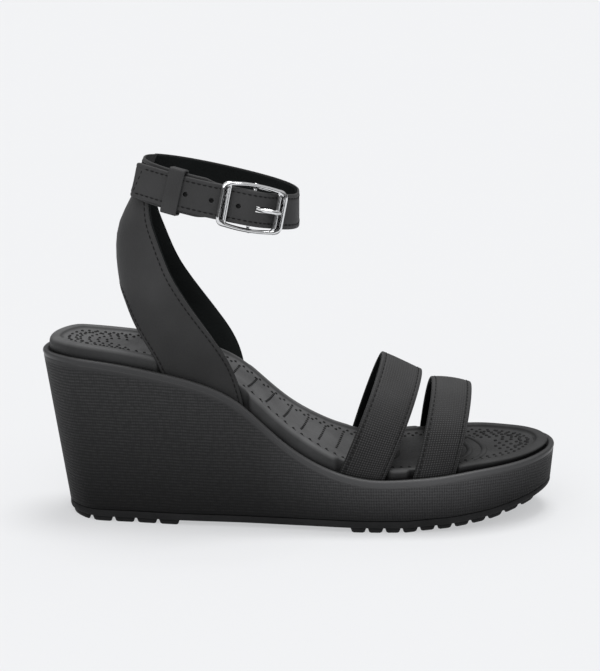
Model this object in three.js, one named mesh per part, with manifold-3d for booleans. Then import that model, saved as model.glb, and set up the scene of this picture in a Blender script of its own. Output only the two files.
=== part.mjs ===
// Wedge sandal for the right foot: moulded wedge, footbed, two lasted straps over the foot,
// a heel quarter and a buckled ankle strap.
// Millimetres, +Z up. While it is drawn, x runs from the back of the heel to the toe, +y is the
// medial side and z = 0 is the ground; at the end the whole group is centred on its bounding box.
import * as THREE from 'three';
import { mergeVertices } from 'three/addons/utils/BufferGeometryUtils.js';
import Module from 'manifold-3d';

const wasm = await Module();
wasm.setup();

// ---------------------------------------------------------------- driving dimensions
const SOLE_LENGTH = 250;
const BALL_WIDTH = 90;
const HEEL_HEIGHT = 81.5;          // ground to rim at the back of the heel
const PLATFORM_HEIGHT = 26;        // ground to rim at its lowest, under the ball of the foot
const TOE_SPRING = 13;             // how far the tip of the sole lifts off the ground
const HEEL_RAKE = 10.5;            // the back of the wedge leans forward this much on its way down
const WALL_DRAFT = 1.5;            // the wedge wall draws in this much on its way down
const CLEARANCE = 0.3;             // between pieces that touch along curved faces

const OUTSOLE_THICKNESS = 3.6;
const LUG_DEPTH = 2.4;
const HEEL_LUG_PITCH = 10.8;
const HEEL_LUG_COUNT = 5;
const HEEL_LUG_START = 15;
const TOE_LUG_PITCH = 8.2;
const TOE_LUG_COUNT = 11;
const TOE_LUG_START = 150;
const LUG_GROOVE = 2.8;
const LUG_INSET = 1.6;             // from the edge of the outsole's underside

const RIM_THICKNESS = 2.8;         // wedge wall at the rim
const CAVITY_FLOOR = 4;            // wedge material left above the outsole
const FOOTBED_SEAT = 5;            // rim down to the underside of the footbed
const FOOTBED_BORDER = 3.4;        // smooth raised border round the footbed
const FOOTBED_DISH = 3;
const BOARD_THICKNESS = 2;
const SHANK_THICKNESS = 1.8;
const SHANK_WIDTH = 14;
const SHANK_START = 42;
const SHANK_END = 148;
const RIVET_INSET = 9;
const RIVET_RADIUS = 1.7;
const RIVET_HEAD_RADIUS = 4;
const RIVET_HEAD_HEIGHT = 0.9;

const LEATHER = 1.0;               // outer material of the straps
const PADDING = 0.8;
const LINING = 0.6;
const LASTING_TURN = 4;            // radius of the bend under the insole board
const LASTING_ALLOWANCE = 12;      // strap material turned under the insole board

const INSTEP = {
  near: [143.5, 165], far: [150, 171.5], apex: [165, 184.5], rise: [50, 43.5], squareness: 1.8,
};
const TOE = {
  near: [178.5, 199], far: [185.5, 205], apex: [189, 208.7], rise: [38.5, 33.5], squareness: 1.75,
};

const ANKLE_X = 84;                // centre of the ankle in plan
const ANKLE_FRONT = 38.4;          // centre of the ankle to the front of the ankle strap
const CUFF_RISE = 89.5;            // heel rim to the top of the ankle strap, at CUFF_TOP_X
const CUFF_TOP_X = 61;
const CUFF_SLOPE = 0.221;          // the ankle strap falls towards the toe
const ANKLE_STRAP_WIDTH = 16.6;
const ANKLE_STRAP_FREE = 57;       // free end, behind the buckle's centre bar
const BUCKLE_STRAP_WIDTH = 19;
const STRAP_JOIN_X = 53;           // both straps end here on the medial side
const QUARTER_FOOT = [59, 98];     // the quarter meets the rim between these

const BUCKLE_X = 101.5;            // centre bar, from the heel
const BUCKLE_LENGTH = 33;
const BUCKLE_WIDTH = 22;
const BUCKLE_THICKNESS = 2.4;
const BUCKLE_RAIL = 2.2;
const BUCKLE_REAR_BAR = 5;
const BUCKLE_FRONT_BAR = 6;
const BUCKLE_BAR_RADIUS = 0.8;
const BUCKLE_CAMBER = 1.8;         // the frame stands this much higher than its centre bar
const PRONG_WIDTH = 2.2;
const PRONG_RING = 1.9;            // radius of the prong's eye round the centre bar
const HOLE_RADIUS = 1.1;
const HOLE_PITCH = 12;
const HOLE_COUNT = 3;              // free holes behind the one that the prong is in
const PRONG_HOLE = 5.5;            // prong hole, ahead of the centre bar
const KEEPER_OFFSET = -36;         // keeper, behind the centre bar along the strap
const KEEPER_WIDTH = 8;
const KEEPER_WALL = 1;

// ---------------------------------------------------------------- shapes of the sole, as shares
// Half widths as shares of the ball width, every 15 degrees of a cosine-spaced length.
const MEDIAL = [0, .172, .3, .328, .35, .328, .335, .411, .478, .472, .383, .233, .044];
const LATERAL = [0, .172, .3, .336, .386, .422, .478, .528, .522, .439, .311, .144, -.044];
const STATION = Math.PI / 12;

const medialShare = profile(MEDIAL.map((share, i) => [i * STATION, share]));
const lateralShare = profile(LATERAL.map((share, i) => [i * STATION, share]));

// Rim height between the platform (0) and the heel (1), along the share of the sole length.
const rimShare = profile([
  [0, .99], [.03, 1], [.11, .97], [.23, .89], [.29, .83], [.35, .745], [.39, .62], [.43, .45],
  [.48, .27], [.53, .14], [.58, .055], [.65, 0], [.74, .02], [.83, .06], [.93, .09], [1, .125],
]);
const springShare = profile([
  [.7, 0], [.74, .09], [.79, .16], [.86, .31], [.9, .48], [.944, .69], [1, 1],
]);
const footbedRise = profile([[0, 6.2], [.2, 6.4], [.42, 7.8], [.5, 7.6], [.62, 5], [.85, 3], [1, 2]]);

// ---------------------------------------------------------------- general helpers
// A smooth curve through the points that never overshoots them.
function profile(points) {
  const last = points.length - 1;
  const slope = (i) => (points[i + 1][1] - points[i][1]) / (points[i + 1][0] - points[i][0]);
  const tangents = points.map((point, i) => {
    if (i === 0) return slope(0);
    if (i === last) return slope(last - 1);
    const before = slope(i - 1);
    const after = slope(i);
    return before * after <= 0 ? 0 : 2 * before * after / (before + after);
  });
  return (x) => {
    const at = THREE.MathUtils.clamp(x, points[0][0], points[last][0]);
    let i = 0;
    while (i < last - 1 && at > points[i + 1][0]) i += 1;
    const span = points[i + 1][0] - points[i][0];
    const t = (at - points[i][0]) / span;
    const ease = t * t * (3 - 2 * t);
    return points[i][1] * (1 - ease) + points[i + 1][1] * ease
      + span * (tangents[i] * t * (1 - t) ** 2 - tangents[i + 1] * t * t * (1 - t));
  };
}

const lerp = THREE.MathUtils.lerp;
const smooth = THREE.MathUtils.smoothstep;

// Closed geometry from loose triangles: shared corners are merged and empty triangles dropped.
function closedGeometry(positions) {
  const loose = new THREE.BufferGeometry();
  loose.setAttribute('position', new THREE.Float32BufferAttribute(positions, 3));
  return weld(loose);
}

function weld(geometry) {
  const bare = new THREE.BufferGeometry();
  bare.setAttribute('position', geometry.getAttribute('position'));
  if (geometry.index) bare.setIndex(geometry.index);
  const merged = mergeVertices(bare, 1e-4);
  const kept = [];
  const index = merged.index.array;
  for (let i = 0; i < index.length; i += 3) {
    const [a, b, c] = [index[i], index[i + 1], index[i + 2]];
    if (a !== b && b !== c && c !== a) kept.push(a, b, c);
  }
  merged.setIndex(kept);
  return merged;
}

// A solid from stacked layers of the same grid. The first layer closes it below, the last one
// above, and the borders of all layers are joined in turn. layer(u, v) gives a Vector3.
function layered(columns, rows, layers) {
  const positions = [];
  const grids = layers.map((layer) => {
    const grid = [];
    for (let i = 0; i <= columns; i += 1) {
      grid.push([]);
      for (let j = 0; j <= rows; j += 1) grid[i].push(layer(i / columns, j / rows, i, j));
    }
    return grid;
  });
  const quad = (a, b, c, d) => {
    for (const p of [a, b, c, a, c, d]) positions.push(p.x, p.y, p.z);
  };
  const bottom = grids[0];
  const top = grids[grids.length - 1];
  for (let i = 0; i < columns; i += 1) {
    for (let j = 0; j < rows; j += 1) {
      quad(top[i][j], top[i + 1][j], top[i + 1][j + 1], top[i][j + 1]);
      quad(bottom[i][j], bottom[i][j + 1], bottom[i + 1][j + 1], bottom[i + 1][j]);
    }
  }
  const border = [];
  for (let i = 0; i < columns; i += 1) border.push([i, 0]);
  for (let j = 0; j < rows; j += 1) border.push([columns, j]);
  for (let i = columns; i > 0; i -= 1) border.push([i, rows]);
  for (let j = rows; j > 0; j -= 1) border.push([0, j]);
  for (let k = 0; k < grids.length - 1; k += 1) {
    border.forEach(([i, j], n) => {
      const [ni, nj] = border[(n + 1) % border.length];
      quad(grids[k][i][j], grids[k][ni][nj], grids[k + 1][ni][nj], grids[k + 1][i][j]);
    });
  }
  return closedGeometry(positions);
}

function toSolid(geometry) {
  const welded = weld(geometry);
  return new wasm.Manifold(new wasm.Mesh({
    numProp: 3,
    vertProperties: new Float32Array(welded.getAttribute('position').array),
    triVerts: new Uint32Array(welded.index.array),
  }));
}

function fromSolid(solid) {
  const mesh = solid.getMesh();
  const geometry = new THREE.BufferGeometry();
  geometry.setAttribute('position', new THREE.Float32BufferAttribute(mesh.vertProperties, 3));
  geometry.setIndex([...mesh.triVerts]);
  return geometry;
}

// Takes the cutters out of the geometry and keeps the largest piece that is left.
function cut(geometry, cutters) {
  let solid = toSolid(geometry);
  for (const cutter of cutters) solid = solid.subtract(toSolid(cutter));
  const pieces = solid.decompose();
  pieces.sort((a, b) => b.volume() - a.volume());
  return fromSolid(pieces[0]);
}

function join(geometries) {
  return fromSolid(geometries.map(toSolid).reduce((whole, piece) => whole.add(piece)));
}

// ---------------------------------------------------------------- surfaces of the sole
const rimZ = (x) => PLATFORM_HEIGHT + (HEEL_HEIGHT - PLATFORM_HEIGHT) * rimShare(x / SOLE_LENGTH);
const springZ = (x) => TOE_SPRING * springShare(x / SOLE_LENGTH);
const undersideZ = (x) => LUG_DEPTH + 0.86 * springZ(x);
const partingZ = (x) => LUG_DEPTH + OUTSOLE_THICKNESS + 0.8 * springZ(x);
const floorZ = (x) => partingZ(x) + CLEARANCE + CAVITY_FLOOR;

function halfWidth(angle, side) {
  return BALL_WIDTH * (side > 0 ? medialShare(angle) : lateralShare(angle));
}

const angleAt = (x) => Math.acos(THREE.MathUtils.clamp(1 - 2 * x / SOLE_LENGTH, -1, 1));

// Share of the way down the wedge wall.
function dropShare(x, z) {
  return THREE.MathUtils.clamp((rimZ(x) - z) / (rimZ(x) - partingZ(x)), 0, 1);
}

// Point of the wedge wall, moved in from it by the inset, at the height z.
function wallPoint(angle, side, inset, heightAt) {
  const x = SOLE_LENGTH / 2 * (1 - Math.cos(angle));
  const z = heightAt(x);
  const drop = dropShare(x, z);
  const step = 0.01;
  const dx = SOLE_LENGTH / 2 * Math.sin(angle);
  const from = Math.max(angle - step, 0);
  const to = Math.min(angle + step, Math.PI);
  const dy = (halfWidth(to, side) - halfWidth(from, side)) / (to - from);
  const length = Math.hypot(dx, dy);
  const shift = inset + WALL_DRAFT * drop;
  const moved = x + dy / length * shift;
  return new THREE.Vector3(
    moved + HEEL_RAKE * drop * (1 - x / SOLE_LENGTH) ** 2,
    side * (halfWidth(angle, side) - dx / length * shift),
    z,
  );
}

// A layer across the whole sole, from the lateral to the medial wall.
function soleLayer(inset, heightAt, dish = () => 0) {
  return (u, v) => {
    const angle = Math.PI * u;
    const near = wallPoint(angle, -1, inset, heightAt);
    const far = wallPoint(angle, 1, inset, heightAt);
    const point = near.lerp(far, v);
    point.z += dish(u, v);
    return point;
  };
}

// Point of a vertical strap end beside the footbed, at a given x.
function sidePoint(x, side, inset, z) {
  const angle = angleAt(x);
  const step = 0.5;
  const rise = halfWidth(angleAt(x + step), side) - halfWidth(angleAt(x - step), side);
  const stretch = Math.hypot(1, rise / (2 * step));
  const shift = inset + WALL_DRAFT * dropShare(x, z);
  return new THREE.Vector3(x, side * (halfWidth(angle, side) - stretch * shift), z);
}

const SLOT_INSET = RIM_THICKNESS + CLEARANCE;
const LASTED_INSET = SLOT_INSET + CLEARANCE;
const STACK = LEATHER + PADDING + LINING + 2 * CLEARANCE;
const BOARD_TOP = FOOTBED_SEAT + CLEARANCE;
const BOARD_BOTTOM = BOARD_TOP + BOARD_THICKNESS;
const LASTING_TOP = BOARD_BOTTOM + CLEARANCE;
const SOLE_COLUMNS = 24;
const SOLE_ROWS = 4;

// ---------------------------------------------------------------- sole pieces
function outsoleGeometry() {
  const body = layered(SOLE_COLUMNS, 3, [
    soleLayer(0.8, undersideZ),
    soleLayer(0, (x) => undersideZ(x) + 0.8),
    soleLayer(0, partingZ),
  ]);
  return join([body, ...lugGeometries()]);
}

// The lugs are bars across a slab under the outsole, flat where they stand on the ground.
function lugGeometries() {
  const overlap = 1;
  const slab = toSolid(layered(SOLE_COLUMNS, 2, [
    soleLayer(LUG_INSET, springZ),
    soleLayer(LUG_INSET - 0.5, (x) => undersideZ(x) + overlap),
  ]));
  const lug = (start, pitch) => {
    const height = 4 * (TOE_SPRING + LUG_DEPTH);
    const bar = new THREE.BoxGeometry(pitch - LUG_GROOVE, 2 * BALL_WIDTH, height);
    return fromSolid(slab.intersect(toSolid(bar.translate(start + (pitch - LUG_GROOVE) / 2, 0, 0))));
  };
  const lugs = [];
  for (let i = 0; i < HEEL_LUG_COUNT; i += 1) {
    lugs.push(lug(HEEL_LUG_START + i * HEEL_LUG_PITCH, HEEL_LUG_PITCH));
  }
  for (let i = 0; i < TOE_LUG_COUNT; i += 1) {
    lugs.push(lug(TOE_LUG_START + i * TOE_LUG_PITCH, TOE_LUG_PITCH));
  }
  return lugs;
}

function wedgeShellGeometry() {
  const gap = (x) => partingZ(x) + CLEARANCE;
  return layered(SOLE_COLUMNS, SOLE_ROWS, [
    soleLayer(0, gap),
    soleLayer(0, (x) => rimZ(x) - 2.2),
    soleLayer(0.15, (x) => rimZ(x) - 0.8),
    soleLayer(0.9, rimZ),
    soleLayer(RIM_THICKNESS - 0.7, rimZ),
    soleLayer(RIM_THICKNESS, (x) => rimZ(x) - 0.8),
    soleLayer(RIM_THICKNESS, floorZ),
  ]);
}

function wedgeCoreGeometry(cutters) {
  const core = layered(SOLE_COLUMNS, SOLE_ROWS, [
    soleLayer(SLOT_INSET, (x) => floorZ(x) + CLEARANCE),
    soleLayer(SLOT_INSET, (x) => rimZ(x) - LASTING_TOP),
  ]);
  return cut(core, cutters);
}

function insoleBoardGeometry(cutters) {
  const board = layered(SOLE_COLUMNS, SOLE_ROWS, [
    soleLayer(SLOT_INSET, (x) => rimZ(x) - BOARD_BOTTOM),
    soleLayer(SLOT_INSET, (x) => rimZ(x) - BOARD_TOP),
  ]);
  return cut(board, cutters);
}

function footbedGeometry(cutters) {
  const rise = (x) => rimZ(x) + footbedRise(x / SOLE_LENGTH);
  const edge = SLOT_INSET + 2.1;
  const dish = (u, v) => -FOOTBED_DISH * 0.4 * Math.sin(Math.PI * u) * Math.sin(Math.PI * v);
  const footbed = layered(SOLE_COLUMNS, SOLE_ROWS, [
    soleLayer(SLOT_INSET, (x) => rimZ(x) - FOOTBED_SEAT),
    soleLayer(SLOT_INSET, (x) => rimZ(x) - 0.6),
    soleLayer(edge - 0.8, (x) => rise(x) - 1),
    soleLayer(edge, rise),
    soleLayer(edge + FOOTBED_BORDER, rise),
    soleLayer(edge + FOOTBED_BORDER + 1.5, (x) => rise(x) - FOOTBED_DISH * 0.6, dish),
  ]);
  return cut(footbed, cutters);
}

const midY = (x) => (halfWidth(angleAt(x), 1) - halfWidth(angleAt(x), -1)) / 2;

// The shank lies under the insole board; grown by a clearance it is also the bed for it.
function shankGeometry(grow = 0) {
  const layer = layered(SOLE_COLUMNS, SOLE_ROWS, [
    soleLayer(SLOT_INSET, (x) => rimZ(x) - LASTING_TOP - SHANK_THICKNESS - grow),
    soleLayer(SLOT_INSET, (x) => rimZ(x) - LASTING_TOP + grow),
  ]);
  const half = SHANK_WIDTH / 2 + grow;
  const plan = new THREE.Shape();
  plan.absarc(SHANK_START + SHANK_WIDTH / 2, midY(SHANK_START), half, Math.PI / 2, 1.5 * Math.PI);
  plan.absarc(SHANK_END - SHANK_WIDTH / 2, midY(SHANK_END), half, -Math.PI / 2, Math.PI / 2);
  const blank = new THREE.ExtrudeGeometry(plan, {
    depth: HEEL_HEIGHT, bevelEnabled: false, curveSegments: 5,
  });
  return fromSolid(toSolid(layer).intersect(toSolid(blank)));
}

const RIVET_PLACES = {
  shank_rivet_rear: SHANK_START + RIVET_INSET,
  shank_rivet_front: SHANK_END - RIVET_INSET,
};

// A rivet through board and shank, its flat head in a recess under the footbed.
function rivetGeometry(grow = 0) {
  const head = RIVET_HEAD_RADIUS + grow;
  const shaft = RIVET_RADIUS + grow;
  const top = RIVET_HEAD_HEIGHT + grow;
  const bottom = -(BOARD_THICKNESS + SHANK_THICKNESS + 3 * CLEARANCE);
  const tail = bottom - RIVET_HEAD_HEIGHT - grow;
  const points = [
    [0, tail], [head * 0.7, tail], [head * 0.7, bottom + grow], [shaft, bottom + grow],
    [shaft, CLEARANCE - grow], [head, CLEARANCE - grow], [head * 0.9, top], [0, top],
  ];
  const profilePoints = points.map(([radius, height]) => new THREE.Vector2(radius, height));
  const geometry = new THREE.LatheGeometry(profilePoints, 12);
  return geometry.rotateX(Math.PI / 2);
}

function rivetMatrix(x) {
  const step = 1;
  const slope = (rimZ(x + step) - rimZ(x - step)) / (2 * step);
  const place = new THREE.Matrix4().makeTranslation(x, midY(x), rimZ(x) - BOARD_TOP);
  return place.multiply(new THREE.Matrix4().makeRotationY(-Math.atan(slope)));
}

// ---------------------------------------------------------------- straps over the foot
// Outer face of a lasted strap end, from its edge under the board up to the rim.
function lastedEnd(x, side, extra = 0) {
  const bend = LASTED_INSET + LASTING_TURN;
  const low = LASTING_TOP + STACK;
  const points = [[bend + LASTING_ALLOWANCE - LASTING_TURN + extra, -low]];
  const steps = 2;
  for (let i = 0; i <= steps; i += 1) {
    const angle = Math.PI / 2 * i / steps;
    points.push([bend - LASTING_TURN * Math.sin(angle), -low + LASTING_TURN * (1 - Math.cos(angle))]);
  }
  points.push([LASTED_INSET, 0]);
  return points.map(([inset, depth]) => sidePoint(x, side, inset, rimZ(x) + depth));
}

// One line of the strap's outer face, at the share across of its width.
function strapLine(strap, across, extra) {
  const x = {
    near: lerp(...strap.near, across), far: lerp(...strap.far, across), apex: lerp(...strap.apex, across),
  };
  const start = lastedEnd(x.near, -1, extra);
  const finish = lastedEnd(x.far, 1, extra).reverse();
  const near = start[start.length - 1];
  const far = finish[0];
  const apexZ = Math.max(near.z, far.z) + lerp(...strap.rise, across);
  const arch = [];
  const steps = 14;
  const power = 2 / strap.squareness;
  for (let i = 1; i < steps; i += 1) {
    const angle = Math.PI * i / steps;
    const height = Math.sin(angle) ** power;
    const reach = Math.sign(Math.cos(angle)) * Math.abs(Math.cos(angle)) ** power;
    const foot = reach > 0 ? near : far;
    arch.push(new THREE.Vector3(
      lerp(foot.x, x.apex, height),
      (near.y + far.y) / 2 + reach * (near.y - far.y) / 2,
      lerp(foot.z, apexZ, height),
    ));
  }
  return [...start, ...arch, ...finish];
}

// A face as a grid of points with the outward normal of each.
function face(lines) {
  const at = (i, j) => lines[THREE.MathUtils.clamp(j, 0, lines.length - 1)][
    THREE.MathUtils.clamp(i, 0, lines[0].length - 1)];
  const normal = (i, j) => {
    const along = at(i + 1, j).clone().sub(at(i - 1, j));
    const across = at(i, j + 1).clone().sub(at(i, j - 1));
    return along.cross(across).normalize();
  };
  return { count: lines[0].length, rows: lines.length, at, normal };
}

// A sheet of material between two depths below the face; outward is +1 or -1 along the normals.
// It can leave out stations at both ends and lines along both edges.
function sheetGeometry(surface, outward, [outer, inner], ends = 0, edges = 0) {
  const offset = (depth) => (u, v, i, j) => {
    const [station, line] = [ends + i, edges + j];
    return surface.at(station, line).clone()
      .addScaledVector(surface.normal(station, line), -outward * depth);
  };
  const layers = [offset(inner), offset(outer)];
  if (outward < 0) layers.reverse();
  return layered(surface.count - 1 - 2 * ends, surface.rows - 1 - 2 * edges, layers);
}

// Lines across a lasted piece, as shares of its width; the padding lies between the second ones.
const ACROSS = [0, 0.1, 0.37, 0.63, 0.9, 1];

function lastedFace(line, margin = 0, extra = 0) {
  return face(ACROSS.map((across) => line(lerp(-margin, 1 + margin, across), extra)));
}

// The layers of a lasted piece, and the room it needs in the sole.
function lastedPieces(line) {
  const surface = lastedFace(line);
  return {
    outer: sheetGeometry(surface, -1, OUTER_DEPTH),
    padding: sheetGeometry(surface, -1, PADDING_DEPTH, END_STATIONS, 1),
    lining: sheetGeometry(surface, -1, LINING_DEPTH),
    room: sheetGeometry(lastedFace(line, 0.03, 3 * CLEARANCE), -1, [-CLEARANCE, STACK + CLEARANCE]),
  };
}

const OUTER_DEPTH = [0, LEATHER];
const PADDING_DEPTH = [LEATHER + CLEARANCE, LEATHER + CLEARANCE + PADDING];
const LINING_DEPTH = [STACK - LINING, STACK];
const END_STATIONS = 6;            // stations of a lasted end, and one above the rim

// ---------------------------------------------------------------- ankle surface
// Back of the ankle, and half its width, against the height above the heel rim.
const backCurve = profile([
  [36.5, 38.3], [51.5, 36.7], [63.5, 39.3], [70.5, 42.8], [80.5, 47.3], [94.5, 52.5],
]);
const halfCurve = profile([[-21.5, 33.5], [28.5, 32], [58.5, 30.5], [94.5, 28.5]]);
const backX = (z) => backCurve(z - HEEL_HEIGHT);
const ankleHalf = (z) => halfCurve(z - HEEL_HEIGHT);
const CLOSING = [33.5, 58.5];      // the ankle's section closes in front between these heights
const REAR_SQUARENESS = 2.6;
const FRONT_SQUARENESS = 3;

// Outer face of the quarter round the ankle: the angle is 0 at the back and 180 degrees in front.
function anklePoint(angle, z, side) {
  const rear = angle <= Math.PI / 2;
  const closing = smooth(z - HEEL_HEIGHT, ...CLOSING);
  const reach = rear ? ANKLE_X - backX(z) : lerp(ANKLE_X - backX(z), ANKLE_FRONT, closing);
  const power = 2 / (rear ? REAR_SQUARENESS : FRONT_SQUARENESS);
  const round = Math.sin(angle) ** power;
  return new THREE.Vector3(
    ANKLE_X - reach * Math.cos(angle),
    side * ankleHalf(z) * (rear ? round : lerp(1, round, closing)),
    z,
  );
}

const ankleAngle = (x, z) => Math.acos(THREE.MathUtils.clamp((ANKLE_X - x) / (ANKLE_X - backX(z)), -1, 1));

// Edges of one half of the quarter, from its foot on the rim (0) to the middle of the back (1), as
// [t, x, height above the heel rim].
const LOWER_EDGE = [[.2, 54.5, 2.5], [.45, 45, 17], [.75, 39.8, 27.5], [1, 38.3, 30]];
const UPPER_EDGE = [
  [.2, 91.5, -1.5], [.4, 75, 22.5], [.58, 63.5, 40.5], [.72, 57, 56.5], [.86, 53, 72.5],
  [.95, 51, 84.5], [1, 50, 87.5],
];

function edgeCurve(foot, points) {
  const corners = [[0, foot, rimZ(foot)], ...points.map(([t, x, rise]) => [t, x, HEEL_HEIGHT + rise])];
  const angle = profile(corners.map(([t, x, z]) => [t, t === 1 ? 0 : ankleAngle(x, z)]));
  const height = profile(corners.map(([t, x, z]) => [t, z]));
  return (t) => [angle(t), height(t)];
}

const lowerEdge = edgeCurve(QUARTER_FOOT[0], LOWER_EDGE);
const upperEdge = edgeCurve(QUARTER_FOOT[1], UPPER_EDGE);

// Point of the quarter; its legs run down on to the line of the slot beside the footbed.
function quarterPoint(t, across, side) {
  const [lowAngle, lowZ] = lowerEdge(t);
  const [highAngle, highZ] = upperEdge(t);
  const footX = lerp(...QUARTER_FOOT, across);
  const angle = lerp(lowAngle, highAngle, across);
  const sag = rimZ(footX) - lerp(rimZ(QUARTER_FOOT[0]), rimZ(QUARTER_FOOT[1]), across);
  const z = lerp(lowZ, highZ, across) + sag * (1 - smooth(t, 0, 0.35));
  const point = anklePoint(angle, z, side);
  const slot = sidePoint(point.x, side, LASTED_INSET, rimZ(point.x)).y;
  point.y = lerp(slot, point.y, smooth(z - rimZ(point.x), 0, 28));
  return point;
}

function quarterLine(across, extra) {
  const footX = lerp(...QUARTER_FOOT, across);
  const steps = 11;
  const leg = (side) => {
    const points = lastedEnd(footX, side, extra);
    for (let i = 1; i < steps; i += 1) points.push(quarterPoint(i / steps, across, side));
    return points;
  };
  return [...leg(-1), quarterPoint(1, across, -1), ...leg(1).reverse()];
}

// ---------------------------------------------------------------- ankle strap
// Point of the ankle's outer face on the cuff: turn 0..180 degrees on the lateral side from the
// back to the front, 180..360 back again on the medial side; drop is down from its top edge.
function cuffPoint(turn, drop) {
  const full = 2 * Math.PI;
  const round = (turn % full + full) % full;
  const side = round <= Math.PI ? -1 : 1;
  const angle = round <= Math.PI ? round : full - round;
  const top = HEEL_HEIGHT + CUFF_RISE;
  let point = anklePoint(angle, top, side);
  for (let i = 0; i < 6; i += 1) {
    const z = top - CUFF_SLOPE * (point.x - CUFF_TOP_X) - drop;
    point = anklePoint(angle, z, side);
  }
  return point;
}

const CUFF_MIDDLE = ANKLE_STRAP_WIDTH / 2;
const CUFF_SAMPLES = 720;

// Length along the cuff's middle, measured from the buckle's centre bar towards the front.
const cuffTable = (() => {
  const rows = [];
  let length = 0;
  let previous = null;
  for (let i = 0; i <= CUFF_SAMPLES; i += 1) {
    const turn = 2 * Math.PI * i / CUFF_SAMPLES;
    const point = cuffPoint(turn, CUFF_MIDDLE);
    if (previous) length += point.distanceTo(previous);
    rows.push({ turn, length, x: point.x });
    previous = point;
  }
  const bar = rows.find((row) => row.turn > Math.PI / 2 && row.x >= BUCKLE_X);
  for (const row of rows) row.along = row.length - bar.length;
  return rows;
})();

function turnAt(along) {
  const next = cuffTable.findIndex((row) => row.along >= along);
  if (next <= 0) return next === 0 ? 0 : 2 * Math.PI;
  const [a, b] = [cuffTable[next - 1], cuffTable[next]];
  return lerp(a.turn, b.turn, (along - a.along) / (b.along - a.along));
}

function alongAt(x, medial) {
  const rows = cuffTable.filter((row) => (row.turn > Math.PI) === medial);
  return rows.reduce((best, row) => (Math.abs(row.x - x) < Math.abs(best.x - x) ? row : best)).along;
}

// Directions on the cuff: a along the strap to the front, b up across it, n outward.
function cuffAxes(along, drop = CUFF_MIDDLE) {
  const turn = turnAt(along);
  const step = 0.02;
  const a = cuffPoint(turn + step, drop).sub(cuffPoint(turn - step, drop)).normalize();
  const across = cuffPoint(turn, drop - 0.5).sub(cuffPoint(turn, drop + 0.5)).normalize();
  const n = a.clone().cross(across).normalize();
  return { origin: cuffPoint(turn, drop), a, b: n.clone().cross(a).normalize(), n };
}

// A place on the cuff: along it, up square across it from its middle, and off its face.
function cuffPlace(along, up, lift) {
  const { a } = cuffAxes(along);
  const tilt = -a.z / Math.hypot(a.x, a.y);
  const { origin, n } = cuffAxes(along + up * tilt, CUFF_MIDDLE - up * Math.hypot(1, tilt));
  return origin.addScaledVector(n, lift);
}

// The same near the buckle, where the straps follow its flat frame.
function strapPlace(along, up, lift) {
  const curved = cuffPlace(along, up, lift);
  const flat = BUCKLE_AXES.origin.clone().addScaledVector(BUCKLE_AXES.a, along)
    .addScaledVector(BUCKLE_AXES.b, up).addScaledVector(BUCKLE_AXES.n, lift);
  return curved.lerp(flat, 1 - smooth(Math.abs(along), 5, 11));
}

const BUCKLE_AXES = cuffAxes(0);

// Underside of the ankle strap above the ankle surface: it lies on the buckle strap, rises over
// the centre bar and runs down again in front of it.
const ON_STRAP = CLEARANCE + LEATHER + CLEARANCE;
const BAR_LIFT = ON_STRAP + BUCKLE_BAR_RADIUS;
const ON_FOLD = BAR_LIFT + BUCKLE_BAR_RADIUS + ON_STRAP;
const onHump = (share) => lerp(ON_STRAP, ON_FOLD, share);
const strapLift = profile([
  [-24, ON_STRAP], [-11, ON_STRAP], [-8.5, onHump(.19)], [-5, onHump(.72)], [-3, onHump(.92)],
  [0, onHump(1.02)], [3, onHump(.88)], [6, onHump(.44)], [9, ON_STRAP], [12, 3 * CLEARANCE],
  [16, 2 * CLEARANCE], [60, CLEARANCE],
]);
const ANKLE_STRAP_END = alongAt(STRAP_JOIN_X, true);
const STRAIGHT_FROM = -41;         // the free end runs straight on behind the keeper

function ankleStrapPlace(along, up, depth) {
  const lift = strapLift(along) + depth;
  if (along >= STRAIGHT_FROM) return strapPlace(along, up, lift);
  const { a } = cuffAxes(STRAIGHT_FROM);
  return strapPlace(STRAIGHT_FROM, up, lift).addScaledVector(a, along - STRAIGHT_FROM);
}

function ankleStrapSheet(from, to, inset) {
  const columns = 44;
  const half = ANKLE_STRAP_WIDTH / 2 - inset;
  const layer = (depth) => (u, v) => {
    const along = lerp(-ANKLE_STRAP_FREE + inset, ANKLE_STRAP_END - inset, u);
    return ankleStrapPlace(along, lerp(-half, half, v), depth);
  };
  return layered(columns, 2, [layer(from), layer(to)]);
}

function inBuckleFrame(geometry) {
  const { origin, a, b, n } = BUCKLE_AXES;
  return geometry.applyMatrix4(new THREE.Matrix4().makeBasis(a, b, n).setPosition(origin));
}

function holeCutters() {
  const cutters = [];
  for (let i = 1; i <= HOLE_COUNT; i += 1) {
    const { origin, a, b, n } = cuffAxes(PRONG_HOLE - i * HOLE_PITCH);
    const hole = new THREE.CylinderGeometry(HOLE_RADIUS, HOLE_RADIUS, 16, 8).rotateX(Math.PI / 2);
    cutters.push(hole.applyMatrix4(new THREE.Matrix4().makeBasis(a, b, n).setPosition(origin)));
  }
  return cutters;
}

// Room for the prong in a strap, between two places along it.
function prongSlot(from, to) {
  const height = 20;
  const slot = new THREE.BoxGeometry(to - from, PRONG_WIDTH + 2 * CLEARANCE, height);
  return inBuckleFrame(slot.translate((from + to) / 2, 0, BAR_LIFT));
}

// ---------------------------------------------------------------- buckle, in its own frame
// a along the strap, b across it and n outward, with the origin on the ankle surface.
const FRAME_LIFT = BAR_LIFT + BUCKLE_CAMBER;
const RAIL_BOW = 0.6;

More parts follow.
